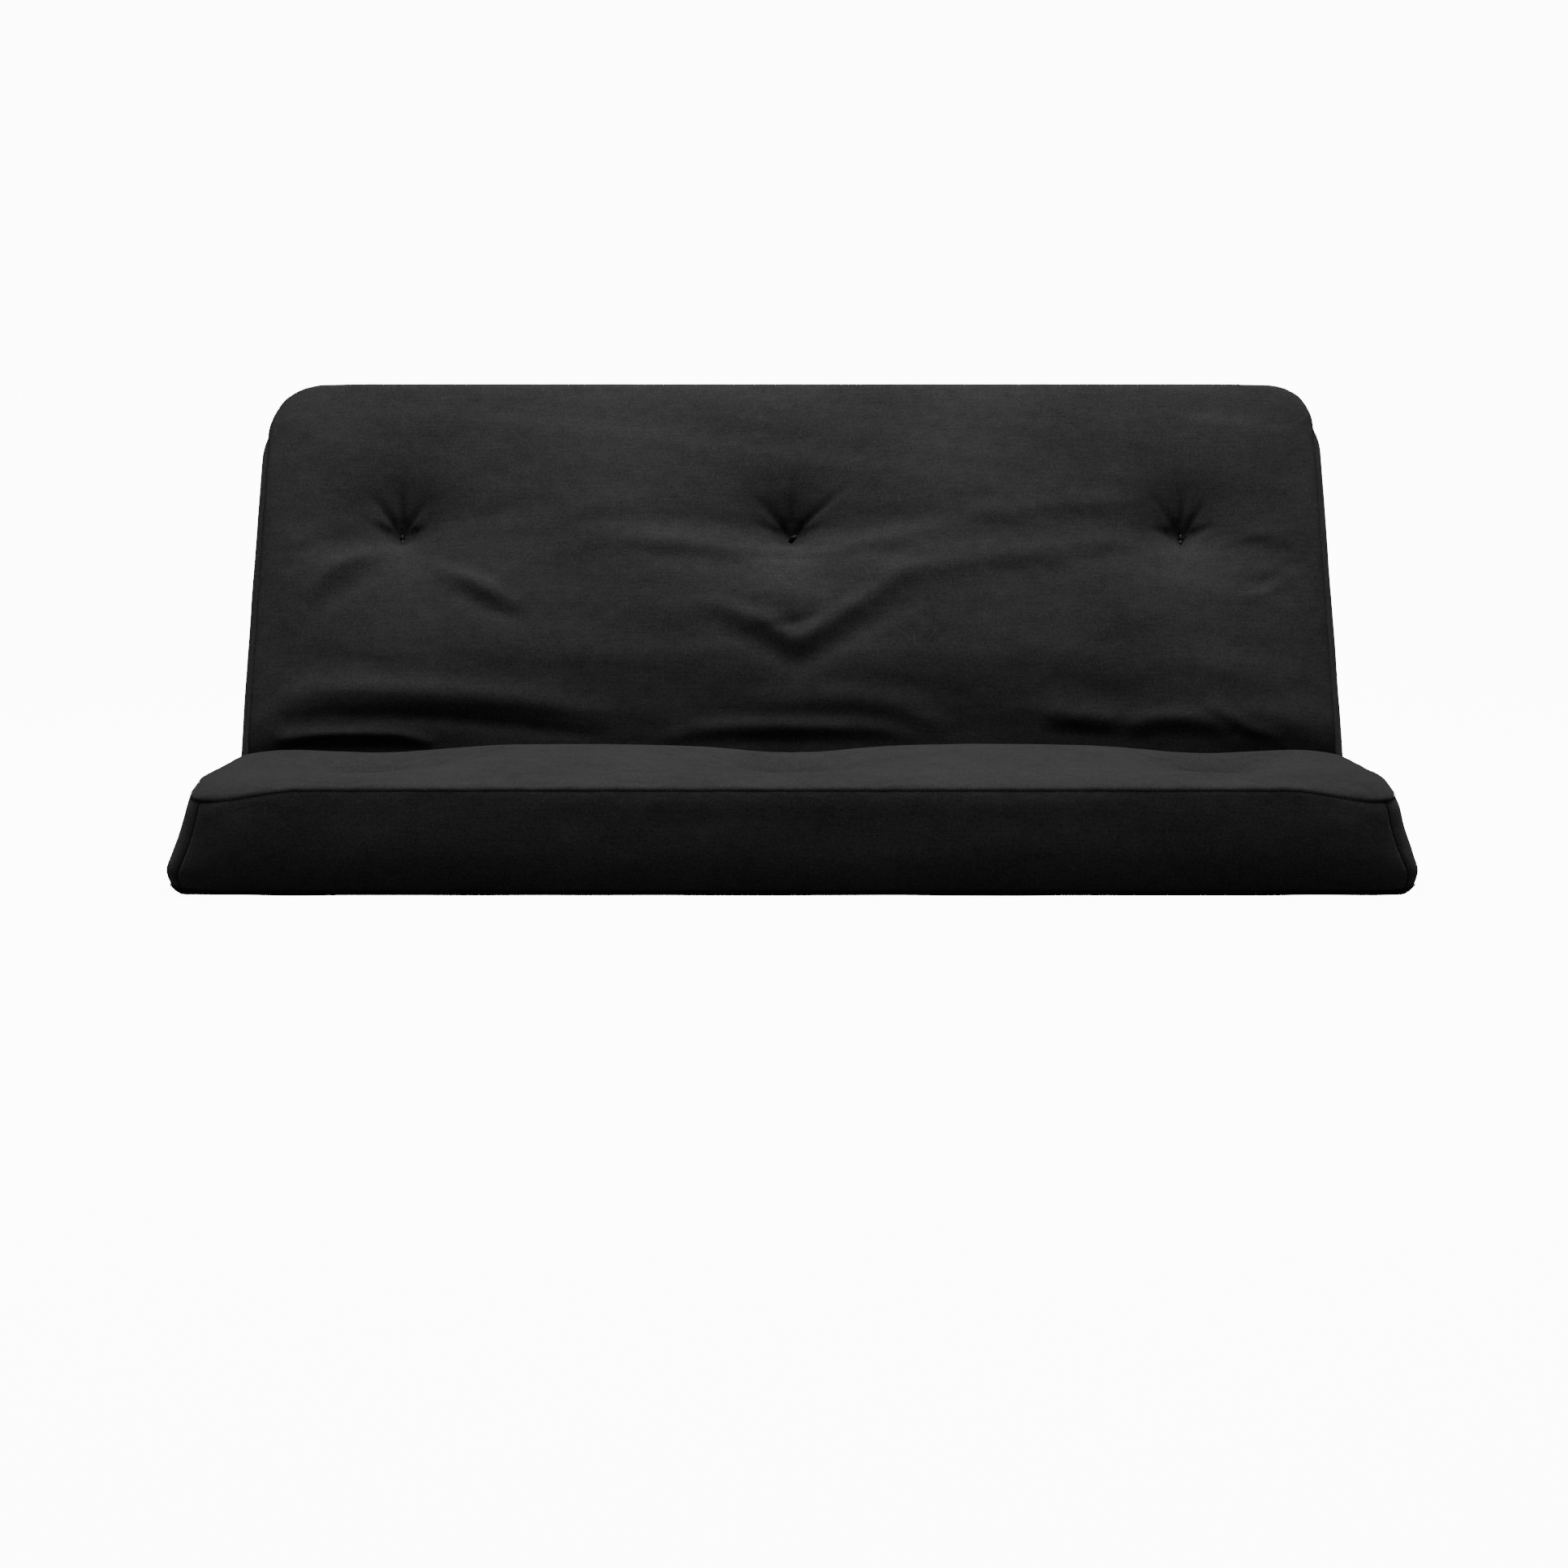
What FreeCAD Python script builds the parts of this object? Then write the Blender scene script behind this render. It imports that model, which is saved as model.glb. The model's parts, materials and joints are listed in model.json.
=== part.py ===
"""A full-size futon mattress, folded into its sofa pose: a seat half lying flat and a back half leaning on it.

The cover is cut from a top and a bottom panel with a border strip between them. Inside are four pads of
batting and a foam core, and tuft cords with a toggle at each end pull the two faces together. The mattress
bends along one fold line, so each layer is made as a seat half and a back half that meet at a mitre there.

Row frame: +Z up, +X along the mattress's length, -Y towards the person sitting. The origin is the bottom
centre of the whole mattress in this pose, on the seat half's underside. Each half is built in its own section
frame: x along the length, y away from the fold line, z up from the underside; place_seat and place_back put
it in the row frame.
"""

import FreeCAD, Part
import math
import os
from collections import namedtuple

# Overall sizes, in millimetres and degrees
LENGTH = 1860.0  # along the fold line
SEAT_DEPTH = 605.0  # fold line to front edge, opened flat
BACK_HEIGHT = 765.0  # fold line to top edge, opened flat
BORDER_HEIGHT = 160.0  # underside to top seam
CROWN = 18.0  # rise of the top panel above the top seam
RECLINE = 25.8  # lean of the back half from upright, in the sofa pose
FOLD_LINE_HEIGHT = 53.0  # height of the line that the filling bends about

# Cover; each inset is how far the outline has come in from its widest
CLOTH = 1.5
FRONT_CORNER_RADIUS = 70.0
TOP_CORNER_RADIUS = 112.0
BOTTOM_SEAM_HEIGHT = 10.0
BOTTOM_EDGE_INSET = 20.0
BOTTOM_SEAM_INSET = 8.0
UPPER_BORDER_INSET = 4.0
TOP_SEAM_INSET = 14.0
CROWN_SHOULDER_INSET = 66.0
CROWN_EDGE_INSET = 155.0
UPPER_END_TAPER = 6.0  # what the two short ends come in by beyond that, at the same heights
TOP_END_TAPER = 22.0
MIN_CORNER_RADIUS = 20.0

# Filling, from the underside up; the top batting takes what is left
BATTING = 28.0
FOAM_CORE = 50.0
FILLING_CLEARANCE = 0.5  # between cloth and filling

# Tufts
TUFT_COLUMNS = 3
TUFT_SPACING = 677.0
TUFT_FROM_FRONT = 300.0  # front edge to the seat half's row, opened flat
TUFT_FROM_TOP = 283.0  # top edge to the back half's row, opened flat
TUFT_DEPTH = 60.0  # crown to the toggle's seat
TUFT_MOUTH_RADIUS = 62.0
TUFT_SEAT_RADIUS = 15.0
UNDER_TUFT_DEPTH = 16.0
UNDER_TUFT_MOUTH_RADIUS = 34.0
TOGGLE_LENGTH = 22.0
TOGGLE_RADIUS = 3.0
CORD_RADIUS = 1.4
CORD_CLEARANCE = 0.4
KNOT_RADIUS = 2.8
TOGGLE_CLEARANCE = 0.3

# Fold
FOLD_GAP = 1.2  # between the two halves at the mitre

# Blank label sewn into the rear seam of the top border
LABEL_WIDTH = 90.0
LABEL_HEIGHT = 55.0
LABEL_THICKNESS = 0.6
LABEL_CLEARANCE = 0.05
LABEL_FROM_CENTRE = 560.0

# Worked out from the sizes above
FOLD_ANGLE = 90.0 - RECLINE
MITRE_SLOPE = math.tan(math.radians(FOLD_ANGLE / 2))
MITRE_GAP = FOLD_GAP / 2 / math.cos(math.radians(FOLD_ANGLE / 2))
FULL_HEIGHT = BORDER_HEIGHT + CROWN
REAR_EDGE_REACH = (BACK_HEIGHT - BOTTOM_EDGE_INSET) * math.cos(math.radians(FOLD_ANGLE))
REAR_REACH = REAR_EDGE_REACH + FOLD_LINE_HEIGHT * math.sin(math.radians(FOLD_ANGLE))
FOLD_LINE_Y = (SEAT_DEPTH - REAR_REACH) / 2
REACH = 4 * FULL_HEIGHT  # how far cutting shapes run past what they cut

# One half of the mattress: fold line to free edge, fold line to its row of tufts, and its corners' radius
Half = namedtuple("Half", ["depth", "tuft_row", "corner_radius"])
SEAT = Half(SEAT_DEPTH, SEAT_DEPTH - TUFT_FROM_FRONT, FRONT_CORNER_RADIUS)
BACK = Half(BACK_HEIGHT, BACK_HEIGHT - TUFT_FROM_TOP, TOP_CORNER_RADIUS)

PARTS_FOLDER = "parts"


def vec(x, y, z):
    """A point or direction."""
    return FreeCAD.Vector(x, y, z)


def rotation(axis, angle):
    """A turn about an axis through the origin, by the right-hand rule, in degrees."""
    return FreeCAD.Rotation(axis, angle)


def place_seat(shape):
    """Section frame to row frame for the seat half: turned to run towards -Y."""
    placed = shape.copy()
    placed.Placement = FreeCAD.Placement(vec(0, FOLD_LINE_Y, 0), rotation(vec(0, 0, 1), 180))
    return placed


def place_back(shape):
    """Section frame to row frame for the back half: turned up about the fold line."""
    turn = rotation(vec(1, 0, 0), FOLD_ANGLE)
    fold_line = vec(0, FOLD_LINE_Y, FOLD_LINE_HEIGHT)
    placed = shape.copy()
    placed.Placement = FreeCAD.Placement(fold_line - turn.multVec(vec(0, 0, FOLD_LINE_HEIGHT)), turn)
    return placed


def outline(half, inset, taper, height):
    """A wire round one half at a height: straight past the fold, rounded at its two free corners."""
    x = LENGTH / 2 - inset - taper
    near = -REACH
    far = half.depth - inset
    r = max(half.corner_radius - inset / 2, MIN_CORNER_RADIUS)
    bend = r * (1 - math.sqrt(0.5))
    corners = [
        Part.LineSegment(vec(-x, near, height), vec(x, near, height)),
        Part.LineSegment(vec(x, near, height), vec(x, far - r, height)),
        Part.Arc(vec(x, far - r, height), vec(x - bend, far - bend, height), vec(x - r, far, height)),
        Part.LineSegment(vec(x - r, far, height), vec(r - x, far, height)),
        Part.Arc(vec(r - x, far, height), vec(bend - x, far - bend, height), vec(-x, far - r, height)),
        Part.LineSegment(vec(-x, far - r, height), vec(-x, near, height)),
    ]
    return Part.Wire([edge.toShape() for edge in corners])


def padded_form(half, shrink):
    """One half as a solid, its surface taken in by shrink on every side."""
    levels = [
        (shrink, BOTTOM_EDGE_INSET, 0.0),
        (BOTTOM_SEAM_HEIGHT, BOTTOM_SEAM_INSET, 0.0),
        (BORDER_HEIGHT * 0.3, 0.0, 0.0),
        (BORDER_HEIGHT * 0.67, UPPER_BORDER_INSET, UPPER_END_TAPER),
        (BORDER_HEIGHT - shrink / 2, TOP_SEAM_INSET, TOP_END_TAPER),
        (BORDER_HEIGHT + CROWN * 0.72 - shrink, CROWN_SHOULDER_INSET, TOP_END_TAPER),
        (FULL_HEIGHT - shrink, CROWN_EDGE_INSET, TOP_END_TAPER),
    ]
    wires = [outline(half, inset + shrink, taper, height) for height, inset, taper in levels]
    return Part.makeLoft(wires, True, True)


def mitre_keep():
    """The side of the fold's mitre on which one half lies."""
    top = FULL_HEIGHT + REACH
    section = [
        vec(-2 * REACH, MITRE_GAP, -REACH),
        vec(-2 * REACH, MITRE_GAP, FOLD_LINE_HEIGHT),
        vec(-2 * REACH, MITRE_GAP + (top - FOLD_LINE_HEIGHT) * MITRE_SLOPE, top),
        vec(-2 * REACH, 4 * REACH, top),
        vec(-2 * REACH, 4 * REACH, -REACH),
    ]
    face = Part.Face(Part.makePolygon(section + section[:1]))
    return face.extrude(vec(4 * REACH, 0, 0))


def tuft_points(half):
    """Where one half's tufts meet the underside, in its section frame."""
    first = -TUFT_SPACING * (TUFT_COLUMNS - 1) / 2
    return [vec(first + i * TUFT_SPACING, half.tuft_row, 0) for i in range(TUFT_COLUMNS)]


def tuft_posts(half, radius, low, high):
    """An upright cylinder at every tuft of one half, between two heights."""
    return [Part.makeCylinder(radius, high - low, point + vec(0, 0, low)) for point in tuft_points(half)]


def dimple(point, shrink):
    """The hollow that one tuft pulls into the top face, and the shallower one under it."""
    mouth_z = FULL_HEIGHT + shrink
    seat_z = FULL_HEIGHT - TUFT_DEPTH - shrink
    seat_r = TUFT_SEAT_RADIUS + shrink
    upper = Part.makeCone(seat_r, TUFT_MOUTH_RADIUS + shrink, mouth_z - seat_z, point + vec(0, 0, seat_z))
    lower = Part.makeCone(UNDER_TUFT_MOUTH_RADIUS + shrink, seat_r, UNDER_TUFT_DEPTH + shrink, point)
    return [upper, lower]


def half_form(half, shrink):
    """One half's padded solid with its tuft hollows, cut off at the fold."""
    hollows = [cone for point in tuft_points(half) for cone in dimple(point, shrink)]
    return padded_form(half, shrink).cut(hollows).common(mitre_keep())


def slab(low, high):
    """Everything between two heights."""
    return Part.makeBox(4 * REACH, 6 * REACH, high - low, vec(-2 * REACH, -2 * REACH, low))


def cord_holes(half):
    """The needle holes that the tuft cords pass through."""
    return tuft_posts(half, CORD_RADIUS + CORD_CLEARANCE, -1, FULL_HEIGHT + 1)


def corner_wedge(half):
    """The part of one half that lies beyond its two corner seams."""
    x = LENGTH / 2 - half.corner_radius
    y = half.depth - half.corner_radius
    points = [vec(-x, y, 0), vec(-x - REACH, y + REACH, 0), vec(x + REACH, y + REACH, 0), vec(x, y, 0)]
    return Part.Face(Part.makePolygon(points + points[:1])).extrude(vec(0, 0, BORDER_HEIGHT))


def cover_pieces(half):
    """The cloth of one half: its two panels and its border strips, by role."""
    shell = half_form(half, 0.0).cut(half_form(half, CLOTH)).cut(cord_holes(half))
    dimple_radius = TUFT_MOUTH_RADIUS + 4 * CLOTH
    middle = FULL_HEIGHT / 2
    upper_zone = slab(BORDER_HEIGHT, FULL_HEIGHT + 1).fuse(tuft_posts(half, dimple_radius, middle, FULL_HEIGHT + 1))
    under_zone = slab(-1, BOTTOM_SEAM_HEIGHT).fuse(tuft_posts(half, dimple_radius, -1, middle))
    border = shell.common(slab(BOTTOM_SEAM_HEIGHT, BORDER_HEIGHT))
    border = border.cut(tuft_posts(half, dimple_radius, -1, FULL_HEIGHT + 1))
    sides = border.cut(corner_wedge(half))
    minus_x = Part.makeBox(2 * REACH, 6 * REACH, FULL_HEIGHT, vec(-2 * REACH, -2 * REACH, 0))
    return {
        "upper": shell.common(upper_zone),
        "under": shell.common(under_zone),
        "end": border.common(corner_wedge(half)),
        "minus_x": sides.common(minus_x),
        "plus_x": sides.cut(minus_x),
    }


def filling_pieces(half):
    """The pads of one half from the underside up, by role."""
    inside = half_form(half, CLOTH + FILLING_CLEARANCE).cut(cord_holes(half))
    edges = [0.0, CLOTH + FILLING_CLEARANCE + BATTING]
    edges.append(edges[-1] + BATTING)
    edges.append(edges[-1] + FOAM_CORE)
    edges.append(edges[-1] + BATTING)
    edges.append(FULL_HEIGHT)
    roles = ["bottom_batting", "lower_batting", "foam_core", "upper_batting", "top_batting"]
    return {role: inside.common(slab(low, high)) for role, low, high in zip(roles, edges, edges[1:])}


def toggle(centre):
    """A bar with rounded ends, lying along y, with an eye for the cord."""
    half_bar = TOGGLE_LENGTH / 2 - TOGGLE_RADIUS
    bar = Part.makeCylinder(TOGGLE_RADIUS, 2 * half_bar, centre - vec(0, half_bar, 0), vec(0, 1, 0))
    ends = [Part.makeSphere(TOGGLE_RADIUS, centre + vec(0, side * half_bar, 0)) for side in (-1, 1)]
    eye_foot = centre - vec(0, 0, 2 * TOGGLE_RADIUS)
    eye = Part.makeCylinder(CORD_RADIUS + CORD_CLEARANCE, 4 * TOGGLE_RADIUS, eye_foot)
    return bar.fuse(ends).removeSplitter().cut(eye)


def tuft_pieces(half):
    """The tuft cords of one half, and the toggles that they pull down on its two faces."""
    lift = TOGGLE_RADIUS + TOGGLE_CLEARANCE
    upper_z = FULL_HEIGHT - TUFT_DEPTH + lift
    under_z = UNDER_TUFT_DEPTH - lift
    knot_lift = TOGGLE_RADIUS + KNOT_RADIUS + TOGGLE_CLEARANCE
    low = under_z - knot_lift
    high = upper_z + knot_lift
    cords = []
    for point, cord in zip(tuft_points(half), tuft_posts(half, CORD_RADIUS, low, high)):
        knots = [Part.makeSphere(KNOT_RADIUS, point + vec(0, 0, z)) for z in (low, high)]
        cords.append(cord.fuse(knots).removeSplitter())
    return {
        "tuft_cords": Part.makeCompound(cords),
        "upper_toggles": Part.makeCompound([toggle(point + vec(0, 0, upper_z)) for point in tuft_points(half)]),
        "under_toggles": Part.makeCompound([toggle(point + vec(0, 0, under_z)) for point in tuft_points(half)]),
    }


def fold_slice(shrink):
    """The wedge that opens under the fold line in the sofa pose: a slice of a round bar."""
    half_length = LENGTH / 2 - BOTTOM_SEAM_INSET - shrink
    bar = Part.makeCylinder(FOLD_LINE_HEIGHT - shrink, 2 * half_length, vec(0, 0, 0), vec(0, 0, 1), FOLD_ANGLE)
    start = vec(-half_length, FOLD_LINE_Y, FOLD_LINE_HEIGHT)
    bar.Placement = FreeCAD.Placement(start, rotation(vec(0, 1, 0), 90))
    return bar


def fold_nodes():
    """The cloth and the batting that wrap round the outside of the fold."""
    return {
        "fold_underside_panel": fold_slice(0.0).cut(fold_slice(CLOTH)),
        "fold_bottom_batting": fold_slice(CLOTH + FILLING_CLEARANCE),
    }


def label():
    """The blank label, lying along the curve of the top border, in the back's section frame."""
    skin = padded_form(BACK, -LABEL_CLEARANCE - LABEL_THICKNESS).cut(padded_form(BACK, -LABEL_CLEARANCE))
    corner = vec(LABEL_FROM_CENTRE, BACK_HEIGHT - LABEL_HEIGHT, BOTTOM_SEAM_HEIGHT)
    return skin.common(Part.makeBox(LABEL_WIDTH, 2 * LABEL_HEIGHT, LABEL_HEIGHT, corner))


def seat_nodes():
    """Every node of the seat half, whose section frame is turned so that its +x side is the left one."""
    cover = cover_pieces(SEAT)
    tufts = tuft_pieces(SEAT)
    nodes = {
        "seat_top_panel": cover["upper"],
        "seat_bottom_panel": cover["under"],
        "front_border": cover["end"],
        "seat_left_border": cover["plus_x"],
        "seat_right_border": cover["minus_x"],
        "seat_tuft_cords": tufts["tuft_cords"],
        "seat_top_toggles": tufts["upper_toggles"],
        "seat_bottom_toggles": tufts["under_toggles"],
    }
    nodes.update({"seat_" + role: shape for role, shape in filling_pieces(SEAT).items()})
    return {name: place_seat(shape) for name, shape in nodes.items()}


def back_nodes():
    """Every node of the back half."""
    cover = cover_pieces(BACK)
    tufts = tuft_pieces(BACK)
    nodes = {
        "back_front_panel": cover["upper"],
        "back_rear_panel": cover["under"],
        "top_border": cover["end"],
        "back_left_border": cover["minus_x"],
        "back_right_border": cover["plus_x"],
        "back_tuft_cords": tufts["tuft_cords"],
        "back_front_toggles": tufts["upper_toggles"],
        "back_rear_toggles": tufts["under_toggles"],
        "sewn_label": label(),
    }
    nodes.update({"back_" + role: shape for role, shape in filling_pieces(BACK).items()})
    return {name: place_back(shape) for name, shape in nodes.items()}


def main():
    """Build every node and write one STEP file for each."""
    os.makedirs(PARTS_FOLDER, exist_ok=True)
    nodes = {**seat_nodes(), **back_nodes(), **fold_nodes()}
    for name, shape in nodes.items():
        solids = shape.Solids
        if not solids or not shape.isValid():
            raise ValueError(f"{name} isn't a valid solid")
        kept = solids[0] if len(solids) == 1 else Part.makeCompound(solids)
        kept.exportStep(os.path.join(PARTS_FOLDER, name + ".step"))
        print(f"{name}: {len(solids)} solid(s), {shape.Volume / 1e6:.3f} litres")


main()
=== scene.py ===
"""A full-size futon mattress in black cloth, folded into its sofa pose, on a pale studio floor.

The mattress is one sewn bag: a top panel, an underside panel and a border strip between them. It is drawn up
by two rows of tufts and bends at one fold line. Inside lie four pads of batting and a foam core.

Lengths are in metres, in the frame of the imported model: +X along the mattress, -Y towards the person sitting,
+Z up. Each half also has section coordinates: a is the distance from the fold line along the half, and w is
the height above its underside.
"""

from __future__ import annotations

import json
import logging
import math
from dataclasses import dataclass, field
from enum import Enum
from typing import ClassVar

import bpy
import numpy as np
from mathutils import Matrix, Vector

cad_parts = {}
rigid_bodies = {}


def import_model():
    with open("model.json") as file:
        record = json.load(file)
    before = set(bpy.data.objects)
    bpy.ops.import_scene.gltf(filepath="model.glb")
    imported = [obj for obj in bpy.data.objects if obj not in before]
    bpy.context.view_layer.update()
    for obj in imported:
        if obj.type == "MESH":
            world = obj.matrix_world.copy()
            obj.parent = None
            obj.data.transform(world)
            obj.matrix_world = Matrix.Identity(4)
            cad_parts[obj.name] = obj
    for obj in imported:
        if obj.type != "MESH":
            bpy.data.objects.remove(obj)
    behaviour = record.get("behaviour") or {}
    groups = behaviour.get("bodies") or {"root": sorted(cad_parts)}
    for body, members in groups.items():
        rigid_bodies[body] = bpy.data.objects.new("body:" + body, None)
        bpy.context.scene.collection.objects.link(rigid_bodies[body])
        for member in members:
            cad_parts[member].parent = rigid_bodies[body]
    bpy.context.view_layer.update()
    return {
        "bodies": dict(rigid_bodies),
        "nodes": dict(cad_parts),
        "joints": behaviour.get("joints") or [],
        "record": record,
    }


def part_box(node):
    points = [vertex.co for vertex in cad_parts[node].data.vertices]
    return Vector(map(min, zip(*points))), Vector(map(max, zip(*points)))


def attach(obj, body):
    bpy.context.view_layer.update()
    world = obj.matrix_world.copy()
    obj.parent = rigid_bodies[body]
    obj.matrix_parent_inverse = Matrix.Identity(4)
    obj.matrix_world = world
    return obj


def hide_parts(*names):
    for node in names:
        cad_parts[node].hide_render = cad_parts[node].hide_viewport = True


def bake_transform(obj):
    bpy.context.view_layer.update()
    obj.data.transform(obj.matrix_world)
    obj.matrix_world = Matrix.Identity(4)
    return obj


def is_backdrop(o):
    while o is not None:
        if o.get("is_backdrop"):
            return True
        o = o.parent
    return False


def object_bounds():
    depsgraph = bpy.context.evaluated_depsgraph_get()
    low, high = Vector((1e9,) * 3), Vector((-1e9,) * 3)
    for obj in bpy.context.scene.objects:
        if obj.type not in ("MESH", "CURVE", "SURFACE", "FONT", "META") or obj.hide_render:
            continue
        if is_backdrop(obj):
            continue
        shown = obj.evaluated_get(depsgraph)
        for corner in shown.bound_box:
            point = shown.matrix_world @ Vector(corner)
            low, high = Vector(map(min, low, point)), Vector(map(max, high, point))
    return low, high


LOG = logging.getLogger("futon_mattress")
Array = np.ndarray
Object = bpy.types.Object
Material = bpy.types.Material
Socket = bpy.types.NodeSocket
Colour = tuple[float, float, float]
MeshData = tuple[Array, Array]
ClothMoves = tuple[Array, Array, Array]


class Half(Enum):
    """The two halves of the mattress, by the body that each one rides on."""

    SEAT = "seat"
    BACK = "back"


class Strip(Enum):
    """The four lengths of the border, in order round the mattress from its front left corner."""

    FRONT = "front_border"
    RIGHT = "right_border"
    TOP = "top_border"
    LEFT = "left_border"


# ---------------------------------------------------------------- small tools


def smoothstep(low: float, high: float, value: Array) -> Array:
    """Goes from 0 at low to 1 at high with no corner at either end."""
    t = np.clip((value - low) / (high - low), 0.0, 1.0)
    return t * t * (3.0 - 2.0 * t)


def graded(start: float, end: float, step: float, fine: list[tuple[float, float, float]]) -> Array:
    """Spaces stations along a length, closer together where detail is needed.

    Args:
        start: First station.
        end: Last station.
        step: Usual spacing.
        fine: Places that need detail, each as its centre, its reach and its spacing.

    Returns:
        The stations, with both ends among them.
    """
    x = np.linspace(start, end, 4001)
    spacing = np.full_like(x, step)
    for centre, reach, close in fine:
        spacing = np.minimum(spacing, step - (step - close) * np.exp(-(((x - centre) / reach) ** 2)))
    count = np.concatenate([[0.0], np.cumsum(np.diff(x) * 0.5 * (1 / spacing[1:] + 1 / spacing[:-1]))])
    return np.interp(np.linspace(0.0, count[-1], int(round(count[-1])) + 1), count, x)


def cubic_weights(wanted: Array, known: Array) -> Array:
    """Weights that carry values from evenly numbered stations to others by smooth interpolation.

    Args:
        wanted: Stations to reach.
        known: Stations where values are known, rising.

    Returns:
        A matrix with one row for each wanted station.
    """
    index = np.interp(wanted, known, np.arange(len(known)))
    base = np.clip(np.floor(index).astype(int), 0, len(known) - 2)
    t = index - base
    parts = [
        -0.5 * t**3 + t**2 - 0.5 * t,
        1.5 * t**3 - 2.5 * t**2 + 1,
        -1.5 * t**3 + 2 * t**2 + 0.5 * t,
        0.5 * t**3 - 0.5 * t**2,
    ]
    weights = np.zeros((len(wanted), len(known)))
    rows = np.arange(len(wanted))
    for offset, part in zip((-1, 0, 1, 2), parts):
        np.add.at(weights, (rows, np.clip(base + offset, 0, len(known) - 1)), part)
    return weights


def carried(moved: Array, known: tuple[Array, Array], u: Array, s: Array) -> Array:
    """Carries vectors known over one grid of cloth coordinates to another grid, u by s."""
    across = cubic_weights(u, known[0])
    along = cubic_weights(s, known[1])
    return np.einsum("ai,ijk,bj->abk", across, moved, along, optimize=True)


def unit(vectors: Array) -> Array:
    """Brings the vectors in the last axis to length 1."""
    return vectors / np.maximum(np.linalg.norm(vectors, axis=-1, keepdims=True), 1e-12)


@dataclass(frozen=True)
class Unevenness:
    """Smooth random unevenness over a plane, the same on every run."""

    seed: int
    cell_x: float
    cell_y: float

    def at(self, x: Array, y: Array) -> Array:
        """Returns values between -1 and 1 at places given in metres."""
        lattice = np.random.default_rng(self.seed).uniform(-1.0, 1.0, (257, 257))
        gx = x / self.cell_x + 97.3
        gy = y / self.cell_y + 61.7
        ix = np.floor(gx).astype(int)
        iy = np.floor(gy).astype(int)
        fx = gx - ix
        fy = gy - iy
        fx = fx * fx * fx * (fx * (fx * 6 - 15) + 10)
        fy = fy * fy * fy * (fy * (fy * 6 - 15) + 10)
        corner = [lattice[(ix + dx) % 257, (iy + dy) % 257] for dx in (0, 1) for dy in (0, 1)]
        low = corner[0] * (1 - fy) + corner[1] * fy
        high = corner[2] * (1 - fy) + corner[3] * fy
        return low * (1 - fx) + high * fx


def grid_faces(rows: int, columns: int, flip: bool = False, offset: int = 0) -> Array:
    """Quads over a grid of points stored row by row, as an array of vertex numbers."""
    i, j = np.meshgrid(np.arange(rows - 1), np.arange(columns - 1), indexing="ij")
    first = (i * columns + j).ravel() + offset
    quads = np.stack([first, first + columns, first + columns + 1, first + 1], axis=1)
    return quads[:, ::-1] if flip else quads


def wall_faces(walk: Array) -> Array:
    """Quads of a closed wall, from its vertex numbers: round the wall by up its levels."""
    after = np.roll(walk, -1, axis=0)
    return np.stack([q.ravel() for q in (walk[:, :-1], after[:, :-1], after[:, 1:], walk[:, 1:])], axis=1)


def linked(obj: Object) -> Object:
    """Links an object to the scene and returns it."""
    bpy.context.scene.collection.objects.link(obj)
    return obj


def mesh_object(
    name: str, points: Array, faces: Array, uv: Array | None = None, seam: Array | None = None
) -> Object:
    """Makes a smooth-shaded mesh object at the origin.

    Args:
        name: Name of the piece.
        points: Vertex places, one to a row.
        faces: Quads as vertex numbers.
        uv: Cloth coordinates of each vertex in metres, if the piece needs them.
        seam: How close each vertex lies to a seam, from 0 to 1 on the seam, if the piece has seams; the cloth
            material paints shade by it.

    Returns:
        The new object, linked to the scene.
    """
    mesh = bpy.data.meshes.new(name)
    mesh.vertices.add(len(points))
    mesh.vertices.foreach_set("co", np.ascontiguousarray(points, dtype=np.float32).ravel())
    mesh.loops.add(faces.size)
    mesh.loops.foreach_set("vertex_index", faces.ravel().astype(np.int32))
    mesh.polygons.add(len(faces))
    mesh.polygons.foreach_set("loop_start", np.arange(0, faces.size, faces.shape[1], dtype=np.int32))
    mesh.update(calc_edges=True)
    mesh.validate()
    if uv is not None:
        layer = mesh.uv_layers.new(name="cloth")
        layer.data.foreach_set("uv", np.ascontiguousarray(uv[faces.ravel()], dtype=np.float32).ravel())
    if seam is not None:
        # The cloth material reads this as the strength of the painted shade at the seams.
        closeness = mesh.attributes.new("seam", "FLOAT", "POINT")
        closeness.data.foreach_set("value", seam.astype(np.float32).ravel())
    mesh.polygons.foreach_set("use_smooth", np.ones(len(mesh.polygons), dtype=bool))
    return linked(bpy.data.objects.new(name, mesh))


def coordinates(mesh: bpy.types.Mesh) -> Array:
    """Reads the places of a mesh's vertices."""
    flat = np.empty(len(mesh.vertices) * 3, dtype=np.float32)
    mesh.vertices.foreach_get("co", flat)
    return flat.reshape(-1, 3).astype(float)


def grid_normals(points: Array) -> Array:
    """Unit normals over a grid of points, to the side where rows and columns turn anticlockwise."""
    along = np.gradient(points, axis=0)
    across = np.gradient(points, axis=1)
    return unit(np.cross(along, across))


# ---------------------------------------------------------------- finishes


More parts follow.
